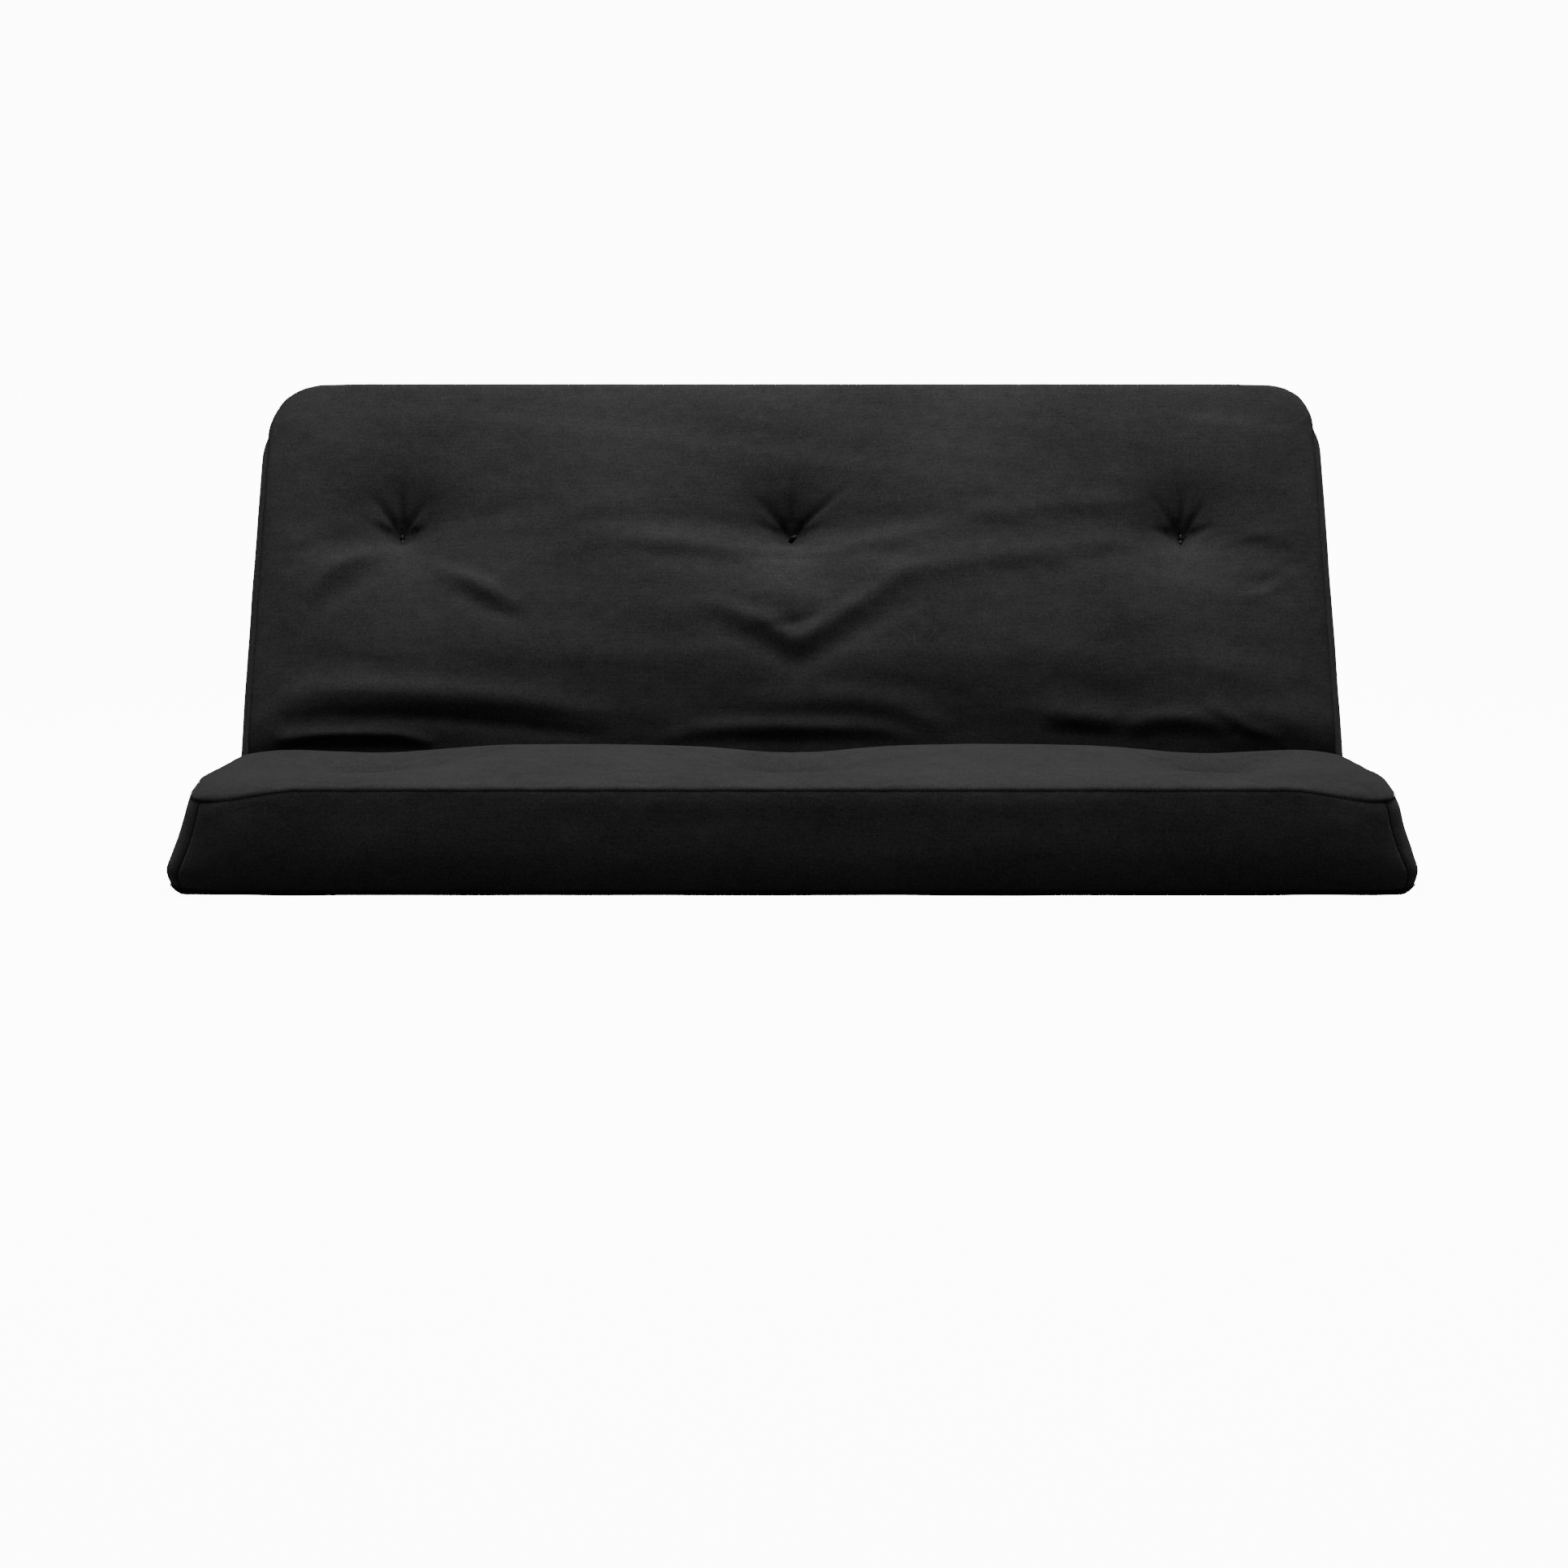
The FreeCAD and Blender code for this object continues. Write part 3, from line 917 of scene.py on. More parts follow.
@dataclass(frozen=True)
class Crease:
    """A ridge or a valley in the back's face, along points given as place and distance from the fold."""

    points: tuple[tuple[float, float], ...]
    width: float
    rise: float
    sharp: float = 2.0

    def height(self, x: Array, a: Array) -> Array:
        """Rise of the crease at places on its half, fading out towards both its ends."""
        line = np.array(self.points)
        steps = np.linalg.norm(np.diff(line, axis=0), axis=1)
        total = steps.sum()
        fine = np.linspace(0, total, max(6, 4 * len(line)))
        known = np.concatenate([[0.0], np.cumsum(steps)])
        curve = cubic_weights(fine, known) @ line
        best = np.full(x.shape, 9.0)
        along = np.zeros(x.shape)
        for number in range(len(curve) - 1):
            start, end = curve[number], curve[number + 1]
            run = end - start
            t = ((x - start[0]) * run[0] + (a - start[1]) * run[1]) / max(run @ run, 1e-12)
            t = np.clip(t, 0, 1)
            gap = np.hypot(x - start[0] - t * run[0], a - start[1] - t * run[1])
            closer = gap < best
            best = np.where(closer, gap, best)
            along = np.where(closer, (number + t) / (len(curve) - 1), along)
        fade = np.sin(np.pi * np.clip(along, 0.0, 1.0)) ** 0.7
        return self.rise * fade * np.exp(-((best / self.width) ** self.sharp))


@dataclass(frozen=True)
class Pleat:
    """A short pleat that runs out from a tuft at an angle, anticlockwise from the mattress's +X."""

    angle: float
    start: float
    length: float
    width: float
    rise: float


PIT_SHARE, PIT_REACH = 0.32, 0.016
HOLLOW_SHARE, HOLLOW_REACH = 0.68, 0.080


def tuft_height(tuft: Tuft, depth: float, pleats: tuple[Pleat, ...], x: Array, a: Array) -> Array:
    """Height of the top face round one tuft: the hollow, the wider sag about it, and its pleats."""
    dx = x - tuft.x
    da = a - tuft.a
    r = np.hypot(dx, da)
    total = -depth * PIT_SHARE * np.exp(-((r / PIT_REACH) ** 1.2))
    total -= depth * HOLLOW_SHARE * np.exp(-((r / HOLLOW_REACH) ** 1.35))
    for pleat in pleats:
        c, s = math.cos(pleat.angle), math.sin(pleat.angle)
        along = dx * c + da * s
        across = -dx * s + da * c
        window = smoothstep(pleat.start - 0.012, pleat.start + 0.010, along)
        end = pleat.start + pleat.length
        window = window * (1 - smoothstep(pleat.start + 0.2 * pleat.length, end, along))
        width = pleat.width * (0.7 + 0.8 * np.clip(along / max(pleat.length, 1e-6), 0, 1.3))
        total = total + pleat.rise * window * np.exp(-((across / width) ** 2))
    return total


def fan(*entries: tuple[float, float, float, float]) -> tuple[Pleat, ...]:
    """Pleats from angle in degrees, length, width and rise in millimetres."""
    return tuple(
        Pleat(math.radians(angle), 0.004, length / 1000, width / 1000, rise / 1000)
        for angle, length, width, rise in entries
    )


def back_crease(width: float, rise: float, *points: tuple[float, float]) -> Crease:
    """A crease in the back's face, from its width, its rise and its points in millimetres."""
    return Crease(tuple((x / 1000, a / 1000) for x, a in points), width / 1000, rise / 1000)


BACK_FANS: dict[int, tuple[Pleat, ...]] = {
    -1: fan(
        (90, 96, 4, -5), (128, 100, 5.5, -3.6), (50, 95, 5.5, -3.2), (109, 80, 9, 3), (71, 80, 9, 3),
        (170, 55, 4, -2.4), (8, 52, 4, -2.4), (150, 70, 9, 3), (30, 70, 9, 3)
    ),
    0: fan(
        (88, 104, 4.5, -6), (138, 115, 6, -4), (38, 155, 6, -4.4), (112, 90, 11, 3), (64, 90, 11, 3),
        (172, 80, 6, -3), (8, 75, 6, -3), (270, 120, 9, 4)
    ),
    1: fan(
        (88, 84, 4, -5), (130, 95, 5.5, -3.4), (52, 80, 5.5, -3.4), (270, 72, 5, -5),
        (176, 60, 5, -3.5), (6, 60, 5, -4), (108, 65, 8, 3), (70, 65, 8, 3)
    ),
}
SEAT_FAN: tuple[Pleat, ...] = fan(
    (90, 60, 7, -4), (135, 90, 10, -4), (45, 85, 10, -4), (270, 60, 7, -4), (225, 80, 10, -4),
    (315, 85, 10, -4), (0, 70, 7, -3), (180, 70, 7, -3)
)

BACK_CREASES: tuple[Crease, ...] = (
    back_crease(18, 8.5, (-672, 446), (-735, 428), (-795, 390), (-835, 340)),
    back_crease(22, -5.5, (-700, 400), (-765, 362), (-820, 310)),
    back_crease(16, 6, (-612, 402), (-540, 368), (-465, 318)),
    back_crease(18, -4.5, (-580, 356), (-520, 326), (-440, 288)),
    back_crease(19, 5.2, (-300, 450), (-160, 440), (-15, 438)),
    back_crease(19, 5.2, (22, 438), (110, 442), (200, 454)),
    back_crease(18, 8.5, (-170, 340), (-100, 313), (-42, 288), (4, 262), (50, 284), (110, 326),
        (220, 398)),
    back_crease(50, 12.5, (-10, 420), (-12, 356), (2, 292)),
    back_crease(20, -5.8, (-150, 296), (-92, 268), (-40, 244), (6, 220), (56, 242), (130, 288),
        (230, 345)),
    back_crease(19, 2.4, (160, 464), (360, 500), (625, 532)),
    back_crease(19, -1, (170, 432), (380, 466), (600, 498)),
    back_crease(19, 3.6, (140, 386), (360, 414), (610, 455)),
    back_crease(19, -1.2, (190, 358), (380, 380), (560, 410)),
    back_crease(10, 2, (725, 456), (785, 462), (850, 472)),
    back_crease(11, 2, (745, 396), (800, 394), (850, 410)),
    back_crease(12, 2.5, (764, 346), (820, 360), (872, 394)),
    back_crease(26, 11.4, (-880, 158), (-780, 170), (-650, 168), (-480, 156), (-300, 122)),
    back_crease(14, -4, (-880, 120), (-780, 124), (-650, 121), (-500, 106), (-300, 74)),
    back_crease(13.5, 11.5, (-885, 78), (-780, 87), (-660, 84), (-600, 64)),
    back_crease(24, 6, (-70, 152), (60, 157), (160, 148), (220, 122), (265, 86)),
    back_crease(18, 7, (-215, 76), (-160, 95), (-50, 102), (60, 102), (150, 96), (210, 76)),
    back_crease(14, -2.5, (-190, 62), (-100, 68), (60, 68), (170, 62)),
    back_crease(20, 4.8, (415, 130), (490, 122), (550, 112)),
    back_crease(18, -2.2, (430, 84), (500, 86), (570, 76)),
    back_crease(20, 6.8, (560, 104), (620, 122), (685, 116), (740, 88)),
    back_crease(19, -2.8, (560, 74), (640, 82), (730, 72)),
    back_crease(14, 5, (690, 150), (730, 128), (770, 98), (830, 78)),
    back_crease(26, -3, (440, 200), (520, 168), (610, 172)),
)


# ---------------------------------------------------------------- the cover


@dataclass
class Cover:
    """The sewn cover: top panel, underside panel and the four lengths of the border."""

    shape: BagShape
    tufts: list[Tuft]
    cloth: Material
    seam_pinch: float = 0.0045
    # Width of the band of painted shade along each seam.
    seam_shade_band: float = 0.0020
    pinch_reach: float = 0.0036
    border_pinch: float = 0.35
    rim_reach: float = 0.010
    trough_depth: float = 0.0075
    trough_width: float = 0.120
    face_waves: ClassVar[tuple[tuple[float, Unevenness], ...]] = (
        (0.0022, Unevenness(3, 0.23, 0.16)),
        (0.0010, Unevenness(5, 0.085, 0.060)),
        (0.0004, Unevenness(8, 0.030, 0.022)),
    )
    border_waves: ClassVar[tuple[tuple[float, Unevenness], ...]] = (
        (0.0016, Unevenness(31, 0.26, 0.070)),
        (0.0007, Unevenness(33, 0.070, 0.035)),
    )
    u: Array = field(init=False)
    s: Array = field(init=False)
    top: Array = field(init=False)
    sunk: Array = field(init=False)

    def __post_init__(self) -> None:
        """Lays out the top panel's cloth coordinates, closer together at seams, tufts and the crease."""
        length, front, rear = self.shape.half_length, -self.shape.seat_depth, self.shape.back_height
        columns = [(tuft.x, 0.060, 0.0032) for tuft in self.tufts if tuft.half is Half.BACK]
        x = graded(-length, length, 0.0066, [(-length, 0.014, 0.0018), (length, 0.014, 0.0018), *columns])
        self.u = x / length
        rows = [(tuft.s, 0.060, 0.0034) for tuft in self.tufts[::3]]
        edges = [(front, 0.014, 0.0018), (rear, 0.014, 0.0018), (0.0, 0.050, 0.0045)]
        before = graded(front, 0.0, 0.0066, edges + rows)
        after = graded(0.0, rear, 0.0066, edges + rows)
        self.s = np.concatenate([before, after[1:]])

    def face_points(self, run: ClothMoves | None) -> None:
        """Finds the top panel's points: the bag's shape, the cloth run, the tufts and the wrinkles."""
        smooth = self.shape.top(self.u, self.s)
        base = smooth
        if run is not None:
            base = base + carried(run[2], run[:2], self.u, self.s)
        normals = grid_normals(base)
        x, s = np.meshgrid(self.u * self.shape.half_length, self.s, indexing="ij")
        self.top = base + normals * self._relief(base, x, s)[..., None]
        self.sunk = self.top - smooth

    def _relief(self, base: Array, x: Array, s: Array) -> Array:
        """Height of the sewn face's detail above its smooth shape, at cloth coordinates x and s."""
        back = s > 0
        a = np.abs(s)
        relief = np.zeros_like(x)
        for tuft in self.tufts:
            on_half = back if tuft.half is Half.BACK else ~back
            pleats = SEAT_FAN if tuft.half is Half.SEAT else BACK_FANS[int(np.sign(round(tuft.x, 2)))]
            nearest = np.unravel_index(np.argmin(np.hypot(x - tuft.x, s - tuft.s)), x.shape)
            depth = float(self.shape.fold.height(tuft.half, base[nearest]) - tuft.seat)
            relief += np.where(on_half, tuft_height(tuft, depth, pleats, x, a), 0.0)
            if tuft.half is Half.SEAT:
                trough = np.exp(-(((x - tuft.x) / self.trough_width) ** 2)) * smoothstep(0.560, 0.30, a)
                relief -= np.where(on_half, self.trough_depth * trough, 0.0)
        for crease in BACK_CREASES:
            relief += np.where(back, crease.height(x, a), 0.0)
        inside = self._inside(x, s)
        calm = smoothstep(0.0, 0.08, inside) * smoothstep(0.0, 0.06, a)
        slack = calm * np.where(back, 1.0, 0.6)
        for height, wave in self.face_waves:
            relief += slack * height * wave.at(x, s)
        relief += 0.0018 * np.where(back, 1.0, 0.15) * calm * Unevenness(12, 0.30, 0.045).at(x, s + 0.15 * x)
        relief -= self.seam_pinch * np.exp(-inside / self.pinch_reach)
        pucker = np.exp(-(((inside - 0.012) / 0.012) ** 2))
        relief += 0.0007 * pucker * Unevenness(21, 0.016, 0.016).at(x, s)
        return relief

    def _inside(self, x: Array, s: Array) -> Array:
        """Distance in from the seam round the panels, at cloth coordinates x and s."""
        return np.minimum(self.shape.half_length - np.abs(x), self.shape.depth(s > 0) - np.abs(s))

    def seam_shade_share(self, gap: Array) -> Array:
        """How strongly the cloth is darkened with painted shade at a seam, at a gap from it."""
        return np.exp(-((gap / self.seam_shade_band) ** 2))

    def border_surface(self, u: Array, s: Array, v: Array) -> Array:
        """The border's points along a run of cloth coordinates, drawn in at its seams and uneven between."""
        base = self.shape.ring(u, s, v)
        normals = grid_normals(base)
        along, up = np.meshgrid(u * self.shape.half_length + s, v * self.shape.border_height, indexing="ij")
        rim = np.minimum(up, self.shape.border_height - up)
        back = s > 0
        corner = (1 - np.abs(u)) * self.shape.half_length + self.shape.depth(back) - np.abs(s)
        calm = smoothstep(0.0, 0.03, rim)
        relief = np.zeros_like(up)
        for height, wave in self.border_waves:
            relief += calm * height * wave.at(along, up)
        relief += 0.0006 * np.exp(-(((rim - 0.010) / 0.010) ** 2)) * Unevenness(35, 0.017, 0.02).at(along, up)
        pinch = self.border_pinch * self.seam_pinch
        relief -= pinch * np.exp(-rim / self.pinch_reach) * (rim > 1e-6)
        relief -= calm * (self.seam_pinch * np.exp(-corner / 0.0040))[:, None]
        return base + normals * relief[..., None]

    def seam_lines(self) -> list[tuple[Array, Array]]:
        """Every seam as a line of points, with the way out of the bag at each."""
        shape = self.shape
        walk_u, walk_s = edge_walk(self.u, self.s)
        inner_u = walk_u * 0.955
        inner_s = np.clip(walk_s, -shape.seat_depth + 0.045, shape.back_height - 0.045)
        lines = []
        edge = edge_numbers(len(self.u), len(self.s))
        upper = self.top.reshape(-1, 3)[edge]
        lower = shape.level(walk_u, walk_s, 0.0)
        for points, share in ((upper, 0.80), (lower, 0.20)):
            out = unit(points - shape.level(inner_u, inner_s, share))
            lines.append((np.concatenate([points, points[:1]]), np.concatenate([out, out[:1]])))
        for u, s in ((-1.0, self.s[0]), (1.0, self.s[0]), (1.0, self.s[-1]), (-1.0, self.s[-1])):
            v = np.linspace(0.03, 0.97, 40)
            corner = shape.level(np.full(40, u), np.full(40, s), v)
            inner = shape.level(np.full(40, u * 0.93), np.full(40, s - math.copysign(0.07, s)), v)
            out = unit(corner - inner)
            lines.append((corner - out * self.seam_pinch, out))
        return lines

    def build(self, run: ClothMoves | None) -> dict[str, Object]:
        """Makes every panel.

        Args:
            run: What the cloth run gave, or None to leave it out.

        Returns:
            The panels by name.
        """
        self.face_points(run)
        rows, columns = len(self.u), len(self.s)
        x, s = np.meshgrid(self.u * self.shape.half_length, self.s, indexing="ij")
        uv = np.stack([x.ravel(), s.ravel()], axis=1)
        # Painted shade: how strongly each vertex of the top panel is darkened at its seams.
        seam = self.seam_shade_share(self._inside(x, s))
        top = mesh_object("top_panel", self.top.reshape(-1, 3), grid_faces(rows, columns), uv, seam)
        panels = {"top_panel": top, "underside_panel": self._underside()}
        panels.update(self._border())
        for panel in panels.values():
            panel.data.materials.append(self.cloth)
        return panels

    def _underside(self) -> Object:
        """The underside panel, with the shallow hollows under its tufts."""
        length, front, rear = self.shape.half_length, -self.shape.seat_depth, self.shape.back_height
        columns = [(tuft.x, 0.045, 0.005) for tuft in self.tufts if tuft.half is Half.BACK]
        x = graded(-length, length, 0.0125, [(-length, 0.014, 0.0022), (length, 0.014, 0.0022), *columns])
        rows = [(tuft.s, 0.045, 0.005) for tuft in self.tufts[::3]]
        edges = [(front, 0.014, 0.0022), (rear, 0.014, 0.0022), (0.0, 0.12, 0.006)]
        before = graded(front, 0.0, 0.0125, edges + rows)
        after = graded(0.0, rear, 0.0125, edges + rows)
        s = np.concatenate([before, after[1:]])
        points = self.shape.bottom(x / length, s)
        normals = grid_normals(points)
        gx, gs = np.meshgrid(x, s, indexing="ij")
        points = points + normals * self.lift_at(gx, gs)[..., None]
        uv = np.stack([gx.ravel(), gs.ravel()], axis=1)
        # Painted shade: how strongly each vertex of the underside is darkened at its seams.
        seam = self.seam_shade_share(self._inside(gx, gs))
        faces = grid_faces(len(x), len(s), True)
        return mesh_object("underside_panel", points.reshape(-1, 3), faces, uv, seam)

    def lift_at(self, x: Array, s: Array) -> Array:
        """How far the underside is drawn up at its tufts and by its own slack."""
        lift = np.zeros_like(x)
        for tuft in self.tufts:
            r = np.hypot(x - tuft.x, s - tuft.s)
            lift += 0.016 * (0.7 * np.exp(-((r / 0.018) ** 1.3)) + 0.3 * np.exp(-((r / 0.045) ** 1.5)))
        rest = smoothstep(0.03, 0.10, np.abs(s)) * smoothstep(0.0, 0.05, self.shape.half_length - np.abs(x))
        return lift + 0.0010 * rest * (1 + Unevenness(41, 0.09, 0.07).at(x, s))

    def _border(self) -> dict[str, Object]:
        """The four lengths of the border, cut at the corner seams."""
        walk_u, walk_s = edge_walk(self.u, self.s)
        v = graded(0.0, 1.0, 0.050, [(0.0, 0.07, 0.014), (1.0, 0.07, 0.014)])
        points = self.border_surface(np.append(walk_u, walk_u[0]), np.append(walk_s, walk_s[0]), v)
        points[-1] = points[0] = 0.5 * (points[0] + points[-1])
        edge = edge_numbers(len(self.u), len(self.s))
        drop = self.top.reshape(-1, 3)[np.append(edge, edge[0])] - points[:, -1]
        points += drop[:, None] * np.exp((v - 1) * self.shape.border_height / self.rim_reach)[None, :, None]
        across, up = len(self.u) - 1, len(self.s) - 1
        starts = np.cumsum([0, across, up, across, up])
        walk = np.append(walk_u, walk_u[0]) * self.shape.half_length + np.append(walk_s, walk_s[0])
        rim = np.minimum(v, 1 - v) * self.shape.border_height
        corner = (1 - np.abs(walk_u)) * self.shape.half_length + self.shape.depth(walk_s > 0) - np.abs(walk_s)
        # Painted shade along the border's long seams and its corner seams.
        seam = self.seam_shade_share(np.minimum(np.append(corner, corner[0])[:, None], rim[None, :]))
        strips = {}
        for strip, start, end in zip(Strip, starts, starts[1:]):
            part = points[start : end + 1]
            along, height = np.meshgrid(walk[start : end + 1], v * self.shape.border_height, indexing="ij")
            uv = np.stack([along.ravel(), height.ravel()], axis=1)
            faces = grid_faces(len(part), len(v))
            shade = seam[start : end + 1].ravel()
            strips[strip.value] = mesh_object(strip.value + "_strip", part.reshape(-1, 3), faces, uv, shade)
        return strips


# ---------------------------------------------------------------- the filling


@dataclass(frozen=True)
class Layer:
    """One pad of the filling, between two shares of the bag's thickness."""

    name: str
    low: float
    high: float
    slot: str
    fill: float
    nodes: tuple[str, ...]


LAYERS: tuple[Layer, ...] = (
    Layer(
        "bottom_batting_pad", 0.016, 0.166, "batting", 0.7,
        ("seat_bottom_batting", "back_bottom_batting", "fold_bottom_batting"),
    ),
    Layer("lower_batting_pad", 0.172, 0.322, "batting", 0.7, ("seat_lower_batting", "back_lower_batting")),
    Layer("foam_core", 0.328, 0.602, "foam", 0.9, ("seat_foam_core", "back_foam_core")),
    Layer("upper_batting_pad", 0.608, 0.762, "batting", 0.7, ("seat_upper_batting", "back_upper_batting")),
    Layer("top_batting_pad", 0.768, 0.976, "batting", 0.6, ("seat_top_batting", "back_top_batting")),
)


@dataclass
class Filling:
    """The pads inside the cover, each one length of stuff that bends at the fold."""

    cover: Cover
    step: float = 0.017
    gap: float = 0.0045
    corner_gap: float = 0.008
    tuft_room: float = 0.007
    soft_edge: float = 0.004

    def build(self, finishes: dict[str, Material]) -> list[tuple[Layer, Object]]:
        """Makes every pad, with the finish for its slot."""
        shape = self.cover.shape
        length = shape.half_length
        columns = [(tuft.x, 0.05, 0.0045) for tuft in self.cover.tufts[:3]]
        rows = [(tuft.s, 0.05, 0.0045) for tuft in self.cover.tufts[::3]]
        ends = [(-length, 0.05, 0.006), (length, 0.05, 0.006)]
        u = graded(-length, length, self.step, ends + columns) / length
        fine = [*rows, (0.0, 0.08, 0.007), (-shape.seat_depth, 0.04, 0.006), (shape.back_height, 0.04, 0.006)]
        front = graded(-shape.seat_depth, 0.0, self.step, fine)
        rear = graded(0.0, shape.back_height, self.step, fine)
        s = np.concatenate([front, rear[1:]])
        drop = carried(self.cover.sunk, (self.cover.u, self.cover.s), u, s) - self._clearance(u, s)
        lift = self._lift(u, s)
        pads = []
        for layer in LAYERS:
            pad = self._pad(layer, u, s, drop, lift)
            pad.data.materials.append(finishes[layer.slot])
            pads.append((layer, pad))
        return pads

    def _room(self, u: Array, s: Array) -> Array:
        """How far a pad stays inside the border, which is wider where the corner seams draw in."""
        shape = self.cover.shape
        corner = (1 - np.abs(u)) * shape.half_length + shape.depth(s > 0) - np.abs(s)
        return self.gap + self.corner_gap * np.exp(-corner / 0.035)

    def _clearance(self, u: Array, s: Array) -> Array:
        """Extra room under the top panel close to its tufts, as vectors."""
        x, gs = np.meshgrid(u * self.cover.shape.half_length, s, indexing="ij")
        room = np.full_like(x, 0.0008)
        for tuft in self.cover.tufts:
            room += self.tuft_room * np.exp(-((np.hypot(x - tuft.x, gs - tuft.s) / 0.045) ** 2))
        return grid_normals(self.cover.shape.top(u, s)) * room[..., None]

    def _lift(self, u: Array, s: Array) -> Array:
        """How far the underside's points are drawn up, as vectors."""
        x, gs = np.meshgrid(u * self.cover.shape.half_length, s, indexing="ij")
        return grid_normals(self.cover.shape.bottom(u, s)) * self.cover.lift_at(x, gs)[..., None]

    def _pad(self, layer: Layer, u: Array, s: Array, drop: Array, lift: Array) -> Object:
        """Makes one closed pad with softened edges."""
        shape = self.cover.shape
        gu, gs = np.meshgrid(u, s, indexing="ij")
        faces_of = []
        for share in (layer.low, layer.high):
            points = shape.level(gu, gs, np.full_like(gu, share), self._room(gu, gs) + self.soft_edge)
            points += drop * share**1.5 + lift * (1 - share) ** 1.5
            faces_of.append(points)
        walk_u, walk_s = edge_walk(u, s)
        edge = edge_numbers(len(u), len(s))
        count = len(u) * len(s)
        inner = np.linspace(layer.low, layer.high, 6)[1:-1]
        sides = []
        for share in inner:
            ring = shape.level(walk_u, walk_s, np.full_like(walk_u, share), self._room(walk_u, walk_s))
            ring += drop.reshape(-1, 3)[edge] * share**1.5 + lift.reshape(-1, 3)[edge] * (1 - share) ** 1.5
            sides.append(ring)
        points = np.concatenate([faces_of[1].reshape(-1, 3), faces_of[0].reshape(-1, 3), *sides])
        around = len(edge)
        rings = [2 * count + k * around + np.arange(around) for k in range(len(inner))]
        wall = wall_faces(np.stack([edge + count, *rings, edge], axis=1))
        quads = [grid_faces(len(u), len(s)), grid_faces(len(u), len(s), True, count), wall]
        return mesh_object(layer.name, points, np.concatenate(quads))


# ---------------------------------------------------------------- repeated pieces


@dataclass(frozen=True)
class Repeater:
    """A Geometry Nodes group that sets one small mesh at every point of another, a little unevenly."""

    name: str
    seed: int = 7
    uneven: float = 0.06

    def _group(self) -> bpy.types.NodeTree:
        """Builds the node group."""
        group = bpy.data.node_groups.new(self.name, "GeometryNodeTree")
        face = group.interface
        face.new_socket(name="Geometry", in_out="INPUT", socket_type="NodeSocketGeometry")
        kinds = {
            "Piece": "Object",
            "Finish": "Material",
            "Smallest size": "Float",
            "Largest size": "Float",
            "Seed": "Int",
        }
        for label, kind in kinds.items():
            face.new_socket(name=label, in_out="INPUT", socket_type="NodeSocket" + kind)
        face.new_socket(name="Geometry", in_out="OUTPUT", socket_type="NodeSocketGeometry")
        nodes, links = group.nodes, group.links
        given = nodes.new("NodeGroupInput")
        result = nodes.new("NodeGroupOutput")
        piece = nodes.new("GeometryNodeObjectInfo")
        turn = nodes.new("GeometryNodeInputNamedAttribute")
        turn.data_type = "FLOAT_VECTOR"
        turn.inputs["Name"].default_value = "turn"
        euler = nodes.new("FunctionNodeEulerToRotation")
        size = nodes.new("FunctionNodeRandomValue")
        size.data_type = "FLOAT"
        place = nodes.new("GeometryNodeInstanceOnPoints")
        real = nodes.new("GeometryNodeRealizeInstances")
        dress = nodes.new("GeometryNodeSetMaterial")
        floats = [socket for socket in size.inputs if socket.type == "VALUE" and socket.enabled]
        links.new(given.outputs["Piece"], piece.inputs["Object"])
        links.new(given.outputs["Smallest size"], floats[0])
        links.new(given.outputs["Largest size"], floats[1])
        links.new(given.outputs["Seed"], size.inputs["Seed"])
        links.new(turn.outputs["Attribute"], euler.inputs["Euler"])
        links.new(given.outputs["Geometry"], place.inputs["Points"])
        links.new(piece.outputs["Geometry"], place.inputs["Instance"])
        links.new(euler.outputs["Rotation"], place.inputs["Rotation"])
        links.new(next(o for o in size.outputs if o.enabled), place.inputs["Scale"])
        links.new(place.outputs["Instances"], real.inputs["Geometry"])
        links.new(real.outputs["Geometry"], dress.inputs["Geometry"])
        links.new(given.outputs["Finish"], dress.inputs["Material"])
        links.new(dress.outputs["Geometry"], result.inputs["Geometry"])
        return group

    def set_out(
        self, piece: Object, places: list[Array], turns: list[Matrix], finish: Material
    ) -> Object:
        """Sets the piece at every place, as one plain mesh.

        Args:
            piece: The mesh to repeat; it is removed afterwards.
            places: Where each copy goes.
            turns: How each copy is turned.
            finish: Material of the copies.

        Returns:
            The finished object.
        """
        mesh = bpy.data.meshes.new(self.name + "_points")
        mesh.from_pydata([tuple(place) for place in places], [], [])
        turn = mesh.attributes.new("turn", "FLOAT_VECTOR", "POINT")
        turn.data.foreach_set("vector", np.array([m.to_euler() for m in turns], dtype=np.float32).ravel())
        holder = linked(bpy.data.objects.new(self.name + "_points", mesh))
        modifier = holder.modifiers.new("repeat", "NODES")
        modifier.node_group = self._group()
        values = {
            "Piece": piece,
            "Finish": finish,
            "Smallest size": 1 - self.uneven,
            "Largest size": 1 + self.uneven,
            "Seed": self.seed,
        }
        for item in modifier.node_group.interface.items_tree:
            if item.in_out == "INPUT" and item.name in values:
                modifier[item.identifier] = values[item.name]
        graph = bpy.context.evaluated_depsgraph_get()
        made = bpy.data.meshes.new_from_object(holder.evaluated_get(graph), depsgraph=graph)
        result = linked(bpy.data.objects.new(self.name, made))
        made.polygons.foreach_set("use_smooth", np.ones(len(made.polygons), dtype=bool))
        bpy.data.objects.remove(holder)
        bpy.data.objects.remove(piece)
        return result


